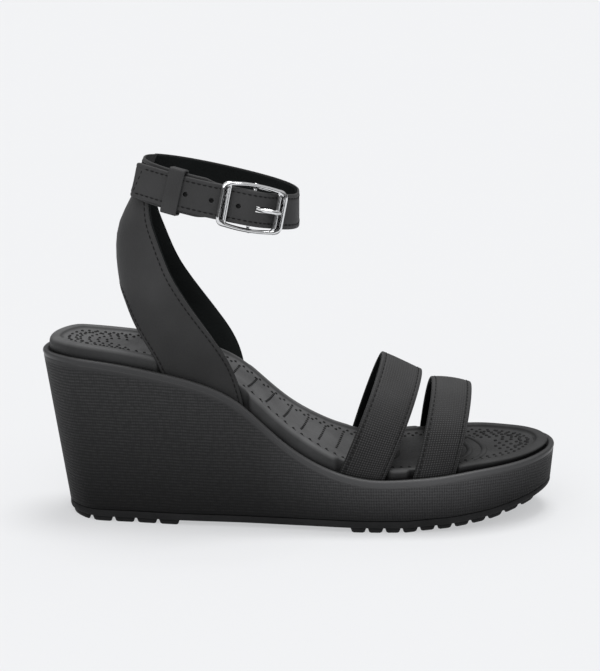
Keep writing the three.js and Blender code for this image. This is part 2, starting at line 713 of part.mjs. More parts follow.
function bowedRectangle(Type, rear, front, half, corner, bow) {
  const outline = new Type();
  outline.moveTo(rear + corner, -half);
  outline.quadraticCurveTo((rear + front) / 2, -half - 2 * bow, front - corner, -half);
  outline.quadraticCurveTo(front, -half, front, -half + corner);
  outline.lineTo(front, half - corner);
  outline.quadraticCurveTo(front, half, front - corner, half);
  outline.quadraticCurveTo((rear + front) / 2, half + 2 * bow, rear + corner, half);
  outline.quadraticCurveTo(rear, half, rear, half - corner);
  outline.lineTo(rear, -half + corner);
  outline.quadraticCurveTo(rear, -half, rear + corner, -half);
  return outline;
}

function buckleFrameGeometry() {
  const bevel = 0.5;
  const half = BUCKLE_LENGTH / 2;
  const plate = bowedRectangle(THREE.Shape, -half + bevel, half - bevel,
    BUCKLE_WIDTH / 2 - bevel, 3.5, RAIL_BOW);
  plate.holes.push(bowedRectangle(THREE.Path, -half + BUCKLE_REAR_BAR + bevel - 1,
    half - BUCKLE_FRONT_BAR - bevel + 1, BUCKLE_WIDTH / 2 - BUCKLE_RAIL, 1.2, RAIL_BOW));
  const frame = new THREE.ExtrudeGeometry(plate, {
    depth: BUCKLE_THICKNESS - 2 * bevel, bevelThickness: bevel, bevelSize: bevel, bevelSegments: 1,
    curveSegments: 4,
  });
  frame.translate(0, 0, FRAME_LIFT - BUCKLE_THICKNESS / 2 + bevel);
  const length = BUCKLE_WIDTH - BUCKLE_RAIL + 2 * RAIL_BOW;
  const bar = new THREE.CylinderGeometry(BUCKLE_BAR_RADIUS, BUCKLE_BAR_RADIUS, length, 12);
  bar.translate(0, 0, BAR_LIFT);
  const lugs = [-1, 1].map((side) => {
    const lug = new THREE.BoxGeometry(3, 1.8, BUCKLE_CAMBER + BUCKLE_BAR_RADIUS);
    const middle = BAR_LIFT - BUCKLE_BAR_RADIUS + (BUCKLE_CAMBER + BUCKLE_BAR_RADIUS) / 2;
    return lug.translate(0, side * (length / 2 + 0.2), middle);
  });
  return join([frame, bar, ...lugs]);
}

function prongGeometry() {
  const outline = [
    [0, -1.2], [4.2, 0.7], [8.3, 2.8], [10.2, 3.3], [13.4, 3.3],
    [13.7, 3.9], [12.8, 4.6], [10, 4.7], [7.6, 4.2], [3.5, 2.4], [0, 1.6],
  ];
  const shape = new THREE.Shape(outline.map(([along, lift]) => new THREE.Vector2(along, lift)));
  const arm = new THREE.ExtrudeGeometry(shape, { depth: PRONG_WIDTH, bevelEnabled: false });
  arm.rotateX(Math.PI / 2).translate(0, PRONG_WIDTH / 2, BAR_LIFT);
  const ring = new THREE.CylinderGeometry(PRONG_RING, PRONG_RING, PRONG_WIDTH, 16);
  const bore = BUCKLE_BAR_RADIUS + CLEARANCE;
  const bar = new THREE.CylinderGeometry(bore, bore, PRONG_WIDTH * 2, 12);
  return cut(join([arm, ring.translate(0, 0, BAR_LIFT)]), [bar.translate(0, 0, BAR_LIFT)]);
}

// The buckle strap runs round the heel under the ankle strap and folds back over the centre bar.
function buckleStrapGeometry() {
  const lift = CLEARANCE + LEATHER / 2;
  const turn = BUCKLE_BAR_RADIUS + CLEARANCE + LEATHER / 2;
  const start = alongAt(STRAP_JOIN_X - 1, true) - cuffTable[cuffTable.length - 1].length;
  const path = [];
  const steps = 28;
  for (let i = 0; i <= steps; i += 1) path.push([lerp(start, -1.2, i / steps), lift]);
  for (let i = 0; i <= 6; i += 1) {
    const angle = Math.PI * i / 6;
    path.push([turn * Math.sin(angle), BAR_LIFT - turn * Math.cos(angle)]);
  }
  const top = BAR_LIFT + turn;
  const laid = lift + LEATHER + CLEARANCE;
  path.push([-2.6, lerp(top, laid, 0.3)], [-4.8, lerp(top, laid, 0.7)], [-7, laid]);
  const full = BUCKLE_STRAP_WIDTH / 2;
  const narrow = ANKLE_STRAP_WIDTH / 2;
  const lines = [-1, 0, 1].map((edge) => path.map(([along, height]) => {
    const half = lerp(full, narrow, smooth(along, -24, -17));
    return strapPlace(wrap(along), edge * half, height);
  }));
  return sheetGeometry(face(lines), 1, [-LEATHER / 2, LEATHER / 2]);
}

// Lengths behind the middle of the heel come round again on the medial side.
function wrap(along) {
  const first = cuffTable[0].along;
  return along < first ? along + cuffTable[cuffTable.length - 1].length : along;
}

const KEEPER_PLAY = 0.5;           // round the straps, so that the keeper slides
const KEEPER_OPENING = {
  low: CLEARANCE - KEEPER_PLAY,
  high: ON_STRAP + LINING + CLEARANCE + LEATHER + KEEPER_PLAY,
  half: BUCKLE_STRAP_WIDTH / 2 + KEEPER_PLAY,
};

function keeperGeometry() {
  const { low, high, half } = KEEPER_OPENING;
  const middle = (low + high) / 2;
  const inner = (high - low) / 2;
  const outline = bowedRectangle(THREE.Shape, -inner - KEEPER_WALL, inner + KEEPER_WALL,
    half + KEEPER_WALL, 1.4, 0);
  outline.holes.push(bowedRectangle(THREE.Path, -inner, inner, half, 0.5, 0));
  const loop = new THREE.ExtrudeGeometry(outline, {
    depth: KEEPER_WIDTH, bevelEnabled: false, curveSegments: 3,
  });
  loop.translate(0, 0, -KEEPER_WIDTH / 2).rotateY(Math.PI / 2);
  return loop.translate(0, 0, middle);
}

// ---------------------------------------------------------------- finishes
function finish(color, roughness, metalness = 0) {
  return () => new THREE.MeshStandardMaterial({ color, roughness, metalness });
}

const strapLeather = finish(0x3e3e3f, 0.75);
const liningCloth = finish(0x141616, 0.9);
const foam = finish(0x8c8a84, 0.95);
const mouldedWedge = finish(0x2f2f30, 0.7);
const footbedFoam = finish(0x4c4d4f, 0.8);
const rubber = finish(0x1d1d1e, 0.85);
const polishedMetal = finish(0xd5d6d8, 0.12, 1);
const steel = finish(0x8f9194, 0.35, 1);
const fibreBoard = finish(0x7b6a52, 0.9);

// ---------------------------------------------------------------- assembly
const sandal = new THREE.Group();

function addPiece(name, geometry, material, parent = sandal) {
  const mesh = new THREE.Mesh(geometry, material());
  mesh.name = name;
  parent.add(mesh);
  return mesh;
}

// A group that stands on the cuff, turned to lie along the strap.
function cuffGroup(along) {
  const { origin, a, b, n } = cuffAxes(along);
  const group = new THREE.Group();
  group.position.copy(origin);
  group.quaternion.setFromRotationMatrix(new THREE.Matrix4().makeBasis(a, b, n));
  sandal.add(group);
  return group;
}

const toeStrap = lastedPieces((across, extra) => strapLine(TOE, across, extra));
const instepStrap = lastedPieces((across, extra) => strapLine(INSTEP, across, extra));
const quarter = lastedPieces(quarterLine);
const strapRoom = [toeStrap.room, instepStrap.room, quarter.room];
const rivetRoom = Object.values(RIVET_PLACES).map((x) => rivetGeometry(CLEARANCE).applyMatrix4(rivetMatrix(x)));

addPiece('outsole', outsoleGeometry(), rubber);
addPiece('wedge_shell', wedgeShellGeometry(), mouldedWedge);
addPiece('wedge_core', wedgeCoreGeometry([...strapRoom, shankGeometry(CLEARANCE), ...rivetRoom]), foam);
addPiece('insole_board', insoleBoardGeometry([...strapRoom, ...rivetRoom]), fibreBoard);
addPiece('steel_shank', cut(shankGeometry(), rivetRoom), steel);
for (const [name, x] of Object.entries(RIVET_PLACES)) {
  const rivet = addPiece(name, rivetGeometry(), steel);
  rivet.applyMatrix4(rivetMatrix(x));
}
addPiece('footbed', footbedGeometry([...strapRoom, ...rivetRoom]), footbedFoam);

for (const [name, pieces] of Object.entries({ toe_strap: toeStrap, instep_strap: instepStrap, quarter })) {
  addPiece(`${name}_outer`, pieces.outer, strapLeather);
  addPiece(`${name}_padding`, pieces.padding, foam);
  addPiece(`${name}_lining`, pieces.lining, liningCloth);
}

const strapHoles = [...holeCutters(), prongSlot(1, 7.8)];
const linedFrom = LINING + CLEARANCE;
addPiece('ankle_strap_outer', cut(ankleStrapSheet(linedFrom, linedFrom + LEATHER, 0), strapHoles),
  strapLeather);
addPiece('ankle_strap_lining', cut(ankleStrapSheet(0, LINING, 0.6), strapHoles), liningCloth);
const eyeRoom = PRONG_RING + CLEARANCE;
const foldRoom = BUCKLE_BAR_RADIUS + ON_STRAP;
addPiece('buckle_strap', cut(buckleStrapGeometry(), [prongSlot(-eyeRoom, foldRoom + CLEARANCE)]),
  strapLeather);

const buckle = cuffGroup(0);
addPiece('buckle_frame', buckleFrameGeometry(), polishedMetal, buckle);
addPiece('buckle_prong', prongGeometry(), polishedMetal, buckle);
addPiece('keeper_loop', keeperGeometry(), strapLeather, cuffGroup(KEEPER_OFFSET));

// The origin goes to the middle of the ground under the bounding box.
sandal.updateMatrixWorld(true);
const box = new THREE.Box3().setFromObject(sandal, true);
sandal.position.set(-(box.min.x + box.max.x) / 2, -(box.min.y + box.max.y) / 2, -box.min.z);
sandal.updateMatrixWorld(true);

export default sandal;
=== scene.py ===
"""Wedge sandal: the soft and moulded surfaces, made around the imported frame."""
import math

import bmesh
import bpy
import numpy as np
from mathutils import Matrix, Vector


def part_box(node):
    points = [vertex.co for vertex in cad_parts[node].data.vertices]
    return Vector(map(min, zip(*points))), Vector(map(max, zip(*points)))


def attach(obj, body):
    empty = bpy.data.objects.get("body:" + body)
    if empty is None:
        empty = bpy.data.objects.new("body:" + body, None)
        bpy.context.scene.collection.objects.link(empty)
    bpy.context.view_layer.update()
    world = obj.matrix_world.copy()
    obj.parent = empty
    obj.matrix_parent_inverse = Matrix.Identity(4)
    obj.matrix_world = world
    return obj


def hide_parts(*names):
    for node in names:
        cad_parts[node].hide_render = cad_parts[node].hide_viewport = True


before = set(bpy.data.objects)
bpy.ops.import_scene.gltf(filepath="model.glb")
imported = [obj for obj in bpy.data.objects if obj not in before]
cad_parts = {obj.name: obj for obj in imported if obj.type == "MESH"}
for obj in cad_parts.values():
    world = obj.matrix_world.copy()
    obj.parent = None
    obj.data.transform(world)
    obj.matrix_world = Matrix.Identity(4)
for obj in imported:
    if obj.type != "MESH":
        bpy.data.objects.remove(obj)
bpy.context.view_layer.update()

bl_info = {
    "name": "Wedge Sandal Maker",
    "version": (1, 0, 0),
    "blender": (4, 5, 0),
    "location": "3D View > Sidebar > Sandal",
    "description": "Builds the visible surfaces of a wedge sandal around its frame",
    "category": "Add Mesh",
}

# ------------------------------------------------------------------ places taken from the frame
# Shapes are worked out in millimetres from the back of the heel, as a last maker draws them:
# x to the toe, y to the medial side, z up from the ground. to_frame() puts them in the frame.
MM = 0.001
WALL_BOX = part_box("wedge_shell")
SOLE_LENGTH = round((WALL_BOX[1][0] - WALL_BOX[0][0]) / MM)
BALL_WIDTH = 90.0
HEEL_HEIGHT = WALL_BOX[1][2] / MM
PLATFORM = 26.0
TOE_SPRING = 13.0
HEEL_RAKE = 10.5
WALL_DRAFT = 1.5
GAP = 0.3
HEEL_X = -125.05                   # back of the heel, from the middle of the bounding box
HEEL_Y = 2.25                      # heel's centre line, from the middle of the bounding box


def to_frame(points):
    """Millimetres from the heel to metres in the frame."""
    return (np.asarray(points, float) + (HEEL_X, HEEL_Y, 0.0)) * MM


# ------------------------------------------------------------------ curves and shares of the sole
def profile(points):
    """A smooth curve through the points that never overshoots them; it takes arrays."""
    xs, ys = np.array(points, float).T
    slopes = np.diff(ys) / np.diff(xs)
    inner = slopes[:-1] * slopes[1:]
    total = slopes[:-1] + slopes[1:]
    middle = np.where(inner > 0, 2 * inner / np.where(inner > 0, total, 1), 0)
    tangents = np.concatenate([slopes[:1], middle, slopes[-1:]])

    def curve(x):
        at = np.clip(x, xs[0], xs[-1])
        i = np.clip(np.searchsorted(xs, at, side="right") - 1, 0, len(xs) - 2)
        span = xs[i + 1] - xs[i]
        t = (at - xs[i]) / span
        ease = t * t * (3 - 2 * t)
        bend = tangents[i] * t * (1 - t) ** 2 - tangents[i + 1] * t * t * (1 - t)
        return ys[i] * (1 - ease) + ys[i + 1] * ease + span * bend

    return curve


def flowing(points):
    """A curve through the points with no sudden change of bend; it takes arrays."""
    xs, ys = np.array(points, float).T
    span = np.diff(xs)
    slope = np.diff(ys) / span
    rows = np.eye(len(xs))
    wanted = np.zeros(len(xs))
    for i in range(1, len(xs) - 1):
        rows[i, i - 1:i + 2] = span[i - 1], 2 * (span[i - 1] + span[i]), span[i]
        wanted[i] = 6 * (slope[i] - slope[i - 1])
    bend = np.linalg.solve(rows, wanted)

    def curve(x):
        at = np.clip(x, xs[0], xs[-1])
        i = np.clip(np.searchsorted(xs, at, side="right") - 1, 0, len(xs) - 2)
        h, t = span[i], at - xs[i]
        return (ys[i] + t * (slope[i] - h * (2 * bend[i] + bend[i + 1]) / 6)
                + t * t * bend[i] / 2 + t ** 3 * (bend[i + 1] - bend[i]) / (6 * h))

    return curve


def smooth(x, low, high):
    t = np.clip((np.asarray(x, float) - low) / (high - low), 0, 1)
    return t * t * (3 - 2 * t)


def mix(a, b, t):
    return a + (b - a) * t


def unit(vectors):
    return vectors / np.linalg.norm(vectors, axis=-1, keepdims=True)


def running_length(points):
    """Length along a row of points, from 0 at the first."""
    return np.concatenate([[0], np.cumsum(np.linalg.norm(np.diff(points, axis=0), axis=1))])


STATION = math.pi / 12
MEDIAL = (0, .172, .3, .328, .35, .328, .335, .411, .478, .472, .383, .233, .044)
LATERAL = (0, .172, .3, .336, .386, .422, .478, .528, .522, .439, .311, .144, -.044)


def softened(curve, reach, count=401):
    """The same curve from 0 to 1 with its corners rounded over the reach."""
    xs = np.linspace(0, 1, count)
    values = curve(xs)
    edge = int(reach * (count - 1))
    kernel = np.hanning(2 * edge + 1)
    before = 2 * values[0] - values[edge:0:-1]
    after = 2 * values[-1] - values[-2:-edge - 2:-1]
    padded = np.concatenate([before, values, after])
    soft = np.convolve(padded, kernel / kernel.sum(), "same")[edge:-edge]
    return lambda x: np.interp(x, xs, soft)


def widths(shares):
    """Half widths as an even curve through the shares, rounded off so that no corner shows."""
    rough = profile([(i * STATION, share) for i, share in enumerate(shares)])
    angles = np.linspace(0, math.pi, 361)
    values = rough(angles)
    kernel = np.hanning(27)
    padded = np.concatenate([-values[13:0:-1], values, 2 * values[-1] - values[-2:-15:-1]])
    soft = np.convolve(padded, kernel / kernel.sum(), "same")[13:-13]
    return lambda angle: np.interp(angle, angles, soft)


SHARE = {1: widths(MEDIAL), -1: widths(LATERAL)}
rim_share = softened(profile([
    (0, .99), (.03, 1), (.11, .97), (.23, .89), (.29, .83), (.35, .735), (.39, .625), (.43, .46),
    (.48, .27), (.53, .135), (.58, .05), (.65, 0), (.74, .02), (.83, .06), (.93, .09), (1, .125),
]), 0.045)
spring_share = profile([(.7, 0), (.74, .09), (.79, .16), (.86, .31), (.9, .48), (.944, .69), (1, 1)])
rise_share = profile([(0, 6.2), (.2, 6.4), (.42, 7.8), (.5, 7.6), (.62, 5), (.85, 3), (1, 2)])


def rim_z(x):
    return PLATFORM + (HEEL_HEIGHT - PLATFORM) * rim_share(np.asarray(x) / SOLE_LENGTH)


def spring_z(x):
    return TOE_SPRING * spring_share(np.asarray(x) / SOLE_LENGTH)


def underside_z(x):
    return 2.4 + 0.86 * spring_z(x)


def parting_z(x):
    return 6.0 + 0.8 * spring_z(x)


def footbed_z(x):
    return rim_z(x) + rise_share(np.asarray(x) / SOLE_LENGTH)


def half_width(angle, side):
    return BALL_WIDTH * SHARE[side](angle)


def angle_at(x):
    return np.arccos(np.clip(1 - 2 * np.asarray(x) / SOLE_LENGTH, -1, 1))


def wall_line(angle, side, inset, height_at):
    """Points of the wedge wall for an array of angles, moved in by the inset."""
    x = SOLE_LENGTH / 2 * (1 - np.cos(angle))
    z = height_at(x)
    drop = np.clip((rim_z(x) - z) / (rim_z(x) - parting_z(x)), 0, 1)
    step = 0.02
    dx = SOLE_LENGTH / 2 * np.sin(angle)
    start, end = np.maximum(angle - step, 0), np.minimum(angle + step, math.pi)
    dy = (half_width(end, side) - half_width(start, side)) / (end - start)
    length = np.hypot(dx, dy)
    shift = inset + WALL_DRAFT * drop
    moved = x + dy / length * shift + HEEL_RAKE * drop * (1 - x / SOLE_LENGTH) ** 2
    across = side * (half_width(angle, side) - dx / length * shift)
    return np.stack([moved, across, z], -1)


def even_angles(count):
    """Angles that space points evenly along the sole's edge."""
    fine = np.linspace(0, math.pi, 2001)
    x = SOLE_LENGTH / 2 * (1 - np.cos(fine))
    length = np.concatenate([[0], np.cumsum(np.hypot(np.diff(x), np.diff(half_width(fine, -1))))])
    return np.interp(np.linspace(0, length[-1], count + 1), length, fine)


SOLE_ANGLES = even_angles(150)


def sole_ring(inset, height_at, angles=SOLE_ANGLES):
    """A closed loop round the sole: the lateral side to the toe, then the medial side back."""
    near = wall_line(angles, -1, inset, height_at)
    far = wall_line(angles, 1, inset, height_at)
    return np.concatenate([near, far[-2:0:-1]])


# ------------------------------------------------------------------ meshes
def new_object(name, verts, faces, uvs=None, smooth_faces=True):
    """A mesh object in the frame from points in millimetres; uvs is one pair for each corner."""
    mesh = bpy.data.meshes.new(name)
    mesh.from_pydata(to_frame(verts).tolist(), [], faces)
    if uvs is not None:
        layer = mesh.uv_layers.new(name="Surface")
        layer.data.foreach_set("uv", np.asarray(uvs, float).ravel())
    mesh.validate()
    mesh.update()
    if smooth_faces:
        mesh.polygons.foreach_set("use_smooth", [True] * len(mesh.polygons))
    obj = bpy.data.objects.new(name, mesh)
    bpy.context.scene.collection.objects.link(obj)
    return obj


class Builder:
    """Collects grids of points into one closed mesh with a UV map in metres."""

    def __init__(self):
        self.verts, self.faces, self.uvs = [], [], []

    def grid(self, points, uv=None, close_rows=False, close_columns=False, flip=False):
        """Points of shape (rows, columns, 3); faces look along columns x rows."""
        rows, columns = points.shape[:2]
        base = sum(len(block) for block in self.verts)
        self.verts.append(points.reshape(-1, 3))
        if uv is None:
            along = running_length(points[rows // 2])
            up = running_length(points[:, columns // 2])
            uv = np.stack(np.broadcast_arrays(along[None, :], up[:, None]), -1)
        uv = uv * MM
        for i in range(rows - (0 if close_rows else 1)):
            for j in range(columns - (0 if close_columns else 1)):
                ni, nj = (i + 1) % rows, (j + 1) % columns
                corners = [(i, j), (i, nj), (ni, nj), (ni, j)]
                if flip:
                    corners.reverse()
                self.faces.append([base + a * columns + b for a, b in corners])
                for a, b in corners:
                    u, v = uv[a, b]
                    if nj == 0 and b == 0:
                        u = uv[a, -1, 0] + MM
                    if ni == 0 and a == 0:
                        v = uv[-1, b, 1] + MM
                    self.uvs.append((u, v))

    def build(self, name, weld=0.02):
        obj = new_object(name, np.concatenate(self.verts), self.faces, self.uvs)
        shell = bmesh.new()
        shell.from_mesh(obj.data)
        bmesh.ops.remove_doubles(shell, verts=shell.verts, dist=weld * MM)
        bmesh.ops.dissolve_degenerate(shell, dist=1e-7, edges=shell.edges)
        bmesh.ops.recalc_face_normals(shell, faces=shell.faces)
        shell.to_mesh(obj.data)
        shell.free()
        obj.data.update()
        return obj


def ring_side(ring, side):
    """The points of a sole ring on one side, from the heel to the toe."""
    half = len(ring) // 2 + 1
    line = ring[:half] if side < 0 else np.concatenate([ring[:1], ring[:half - 2:-1]])
    return line[np.argsort(line[:, 0])]


def edge_at(ring, x, side, axis=1):
    """Where a ring passes the given lengths on one side: across the sole, or its height."""
    line = ring_side(ring, side)
    return np.interp(x, line[:, 0], line[:, axis])


def ladder(ring, columns=6, sag=None):
    """A grid across a sole ring, from its lateral to its medial side."""
    half = len(ring) // 2 + 1
    near = ring[:half]
    far = np.concatenate([ring[:1], ring[:half - 2:-1]])
    share = np.linspace(0, 1, columns + 1)[:, None, None]
    points = mix(near[None], far[None], share)
    if sag is not None:
        points[..., 2] += sag(points[..., 0], share[..., 0])
    return points


def sole_body(name, rings, top_columns=6, top_sag=None):
    """A closed body from rings stacked from below to above, closed across at both ends."""
    builder = Builder()
    builder.grid(ladder(rings[0]), flip=True)
    builder.grid(np.stack(rings), close_columns=True)
    builder.grid(ladder(rings[-1], top_columns, top_sag))
    return builder.build(name)


def surface_normals(points):
    """Unit normals of a grid of shape (rows, columns, 3), along columns x rows."""
    along = np.gradient(points, axis=1)
    across = np.gradient(points, axis=0)
    normal = np.cross(along, across)
    return normal / np.maximum(np.linalg.norm(normal, axis=2, keepdims=True), 1e-9)


def sheet(name, face, top, bottom, outward=1):
    """A closed sheet on a face grid: top and bottom are heights over it, one for each row."""
    normals = outward * surface_normals(face)
    upper = face + normals * np.asarray(top)[:, None, None]
    lower = face + normals * np.asarray(bottom)[:, None, None]
    length = running_length(face[len(face) // 2])
    width = running_length(face[:, face.shape[1] // 2])
    uv = np.stack(np.broadcast_arrays(length[None, :], width[:, None]), -1)
    builder = Builder()
    builder.grid(upper, uv)
    builder.grid(lower, uv, flip=True)
    for row in (0, -1):
        builder.grid(np.stack([lower[row], upper[row]]), uv[[row, row]], flip=row == -1)
    for column in (0, -1):
        builder.grid(np.stack([lower[:, column], upper[:, column]]), uv[:, [column, column]].swapaxes(0, 1),
                     flip=column == 0)
    return builder.build(name, weld=0.005)


def finish_piece(obj, body, slot, material, *nodes):
    """Gives a finished piece its material and its body, and hides the frame's nodes it stands for; the slot
    is not used.
    """
    if material is not None:
        obj.data.materials.clear()
        obj.data.materials.append(material)
    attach(obj, body)
    if nodes:
        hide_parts(*nodes)
    return obj


# ------------------------------------------------------------------ moulded sole
RIM_WALL = 2.8                     # wedge wall at the rim
SLOT = RIM_WALL + GAP              # straps go down between the rim and the footbed
LASTED = SLOT + GAP
BORDER = 3.4                       # smooth raised border of the footbed
DISH = 3.0
EDGE = SLOT + 2.1                  # outer edge of the footbed's border
FLAT_TOP = EDGE + BORDER + 1.5

INSTEP = {
    "near": (143.5, 165), "far": (150, 171.5), "apex": (165, 184.5), "rise": (50, 43.5),
    "power": 2 / 1.8,
}
TOE = {
    "near": (178.5, 199), "far": (185.5, 205), "apex": (189, 208.7), "rise": (38.5, 33.5),
    "power": 2 / 1.75,
}
QUARTER_FOOT = (59, 98)


def rounded_edge(inset, base, radius, steps, start=180, end=90):
    """(inset, height) pairs of a rounded edge: its circle's middle is radius in and down."""
    turns = np.radians(np.linspace(start, end, steps))
    return [(inset + radius + radius * math.cos(t), base - radius + radius * math.sin(t)) for t in turns]


def wedge_wall():
    """The moulded wall from the parting line to the rounded rim, and down inside it."""
    rings = []
    for share in np.linspace(0, 1, 30):
        rings.append(sole_ring(0, lambda x: mix(parting_z(x) + GAP, rim_z(x) - 3.4, share)))
    rings.append(sole_ring(0.05, lambda x: rim_z(x) - 3.1))
    rings.append(sole_ring(0.25, lambda x: rim_z(x) - 2.9))
    rings.append(sole_ring(0.2, lambda x: rim_z(x) - 2.6))
    for inset, depth in rounded_edge(-0.1, 0, 1.3, 7):
        rings.append(sole_ring(inset, lambda x: rim_z(x) + depth))
    rings.append(sole_ring(RIM_WALL - 0.5, lambda x: rim_z(x) - 0.05))
    rings.append(sole_ring(RIM_WALL, lambda x: rim_z(x) - 0.6))
    rings.append(sole_ring(RIM_WALL, lambda x: rim_z(x) - 8))
    return sole_body("wedge_wall", rings)


def strap_notch(points_x, side, grow=1.0):
    """1 where a strap goes down beside the footbed on that side, else 0."""
    spans = [QUARTER_FOOT]
    for strap in (INSTEP, TOE):
        spans.append(strap["near"] if side < 0 else strap["far"])
    share = np.zeros_like(points_x)
    for low, high in spans:
        share = np.maximum(share, smooth(points_x, low - grow - 2, low - grow)
                           * (1 - smooth(points_x, high + grow, high + grow + 2)))
    return share


FOOTBED_ANGLES = even_angles(300)


def footbed_ring(inset, height_at, notch=0.0):
    """A ring of the footbed, pushed in by the notch where the straps pass."""
    x = SOLE_LENGTH / 2 * (1 - np.cos(FOOTBED_ANGLES))
    near = wall_line(FOOTBED_ANGLES, -1, inset + notch * strap_notch(x, -1), height_at)
    far = wall_line(FOOTBED_ANGLES, 1, inset + notch * strap_notch(x, 1), height_at)
    return np.concatenate([near, far[-2:0:-1]])


def footbed_dish(x, across):
    """How far the middle of the footbed lies below its edge."""
    return -0.4 * DISH * np.sin(math.pi * np.clip(x / SOLE_LENGTH, 0, 1)) * np.sin(math.pi * across)


def footbed():
    rings = [
        footbed_ring(SLOT, lambda x: rim_z(x) - 5, 3.4),
        footbed_ring(SLOT + 1.2, lambda x: rim_z(x) - 1.2, 3.0),
        footbed_ring(SLOT + 0.9, lambda x: rim_z(x) - 0.2, 3.0),
        footbed_ring(SLOT + 0.35, lambda x: rim_z(x) + 0.9, 3.0),
        footbed_ring(SLOT + 0.3, lambda x: mix(rim_z(x), footbed_z(x), 0.42), 2.9),
    ]
    for share in (0, 0.16, 0.33, 0.5, 0.67, 0.84, 1):
        turn = math.pi / 2 * share
        inset, lift = SLOT + 0.3 + 2.4 * (1 - math.cos(turn)), 0.5 + 0.5 * math.sin(turn)
        rings.append(footbed_ring(inset, lambda x: mix(rim_z(x), footbed_z(x), lift), 2.8 - 1.4 * share))
    rings.append(footbed_ring(EDGE + BORDER - 0.8, footbed_z, 0.4))
    rings.append(footbed_ring(EDGE + BORDER - 0.2, lambda x: footbed_z(x) - 0.2))
    rings.append(footbed_ring(EDGE + BORDER + 0.3, lambda x: footbed_z(x) - 0.7))
    rings.append(footbed_ring(EDGE + BORDER + 0.6, lambda x: footbed_z(x) - 0.6 * DISH + 0.3))
    rings.append(footbed_ring(FLAT_TOP, lambda x: footbed_z(x) - 0.6 * DISH))
    return sole_body("footbed_top", rings, 28, footbed_dish)


OUTSOLE_LUGS = [(15 + 10.8 * i, 10.8) for i in range(5)] + [(150 + 8.2 * i, 8.2) for i in range(11)]
LUG_GROOVE = 2.8


def outsole():
    """The rubber outsole with a lip at the parting line, and its lugs with slanted sides."""
    rings = [
        sole_ring(1.3, underside_z),
        sole_ring(0.9, underside_z),
        sole_ring(0.3, lambda x: underside_z(x) + 0.3),
        sole_ring(0.1, lambda x: underside_z(x) + 0.9),
        sole_ring(0.1, lambda x: parting_z(x) - 0.4),
        sole_ring(0.35, lambda x: parting_z(x) - 0.1),
        sole_ring(0.9, parting_z),
    ]
    builder = Builder()
    builder.grid(ladder(rings[0]), flip=True)
    builder.grid(np.stack(rings), close_columns=True)
    builder.grid(ladder(rings[-1]))
    foot, neck = sole_ring(1.7, spring_z), sole_ring(1.1, underside_z)
    for start, pitch in OUTSOLE_LUGS:
        low, high = start, start + pitch - LUG_GROOVE
        levels = []
        for ring, lean, height in ((neck, -1.3, lambda x: underside_z(x) + 0.8),
                                   (mix(neck, foot, 0.8), -0.3, lambda x: spring_z(x) + 0.45),
                                   (foot, 0.6, spring_z)):
            x = np.linspace(low + lean, high - lean, 5)
            z = height(x)
            near, far = edge_at(ring, x, -1), edge_at(ring, x, 1)
            share = np.linspace(0, 1, 9)[:, None]
            across = mix(near[None], far[None], share)
            levels.append(np.stack(np.broadcast_arrays(x[None], across, z[None]), -1))
        top, middle, bottom = levels
        builder.grid(top)
        builder.grid(bottom, flip=True)
        for upper, lower in ((top, middle), (middle, bottom)):
            for row, flip in ((0, False), (-1, True)):
                builder.grid(np.stack([lower[row], upper[row]]), flip=flip)
            for column, flip in ((0, True), (-1, False)):
                builder.grid(np.stack([lower[:, column], upper[:, column]]), flip=flip)
    return builder.build("outsole_tread")


# ------------------------------------------------------------------ straps over the foot
LEATHER, LINING, STACK = 1.0, 0.6, 3.0
TURN, ALLOWANCE = 4.0, 12.0        # lasting bend under the insole board, material turned under it
LASTING_TOP = 7.6


def side_point(x, side, inset, z):
    """Point beside the footbed for arrays of lengths along the sole."""
    angle = angle_at(x)
    rise = half_width(angle_at(x + 0.5), side) - half_width(angle_at(x - 0.5), side)
    drop = np.clip((rim_z(x) - z) / (rim_z(x) - parting_z(x)), 0, 1)
    shift = inset + WALL_DRAFT * drop
    return np.stack([x, side * (half_width(angle, side) - np.hypot(1, rise) * shift), z], -1)


def lasted_end(x, side):
    """Rows along the strap from its edge under the board up to the rim, for an array of x."""
    bend = LASTED + TURN
    low = LASTING_TOP + STACK
    pairs = [(bend + ALLOWANCE - TURN, -low), (bend, -low)]
    for turn in np.linspace(0, math.pi / 2, 5)[1:]:
        pairs.append((bend - TURN * math.sin(turn), -low + TURN * (1 - math.cos(turn))))
    pairs += [(LASTED, -4), (LASTED, -2), (LASTED, 0)]
    return np.stack([side_point(x, side, inset, rim_z(x) + depth) for inset, depth in pairs], 1)


def spread(ends, share):
    return mix(ends[0], ends[1], np.asarray(share))


def strap_face(strap, shares, steps=64):
    """Outer face of a strap over the foot, of shape (across, along, 3)."""
    shares = np.asarray(shares, float)
    start = lasted_end(spread(strap["near"], shares), -1)
    finish = lasted_end(spread(strap["far"], shares), 1)[:, ::-1]
    near, far = start[:, -1:], finish[:, :1]
    apex_x = spread(strap["apex"], shares)[:, None]
    crown = 4.4 * shares * (1 - shares)
    apex_z = np.maximum(near[..., 2], far[..., 2]) + (spread(strap["rise"], shares) + crown)[:, None]
    angle = math.pi * np.arange(1, steps) / steps
    height = np.sin(angle)[None] ** strap["power"]
    reach = (np.sign(np.cos(angle)) * np.abs(np.cos(angle)) ** strap["power"])[None]
    foot = np.where(reach[..., None] > 0, near, far)
    arch = np.stack([
        mix(foot[..., 0], apex_x, height),
        (near[..., 1] + far[..., 1]) / 2 + reach * (near[..., 1] - far[..., 1]) / 2,
        mix(foot[..., 2], apex_z, height),
    ], -1)
    return np.concatenate([start, arch, finish], 1)


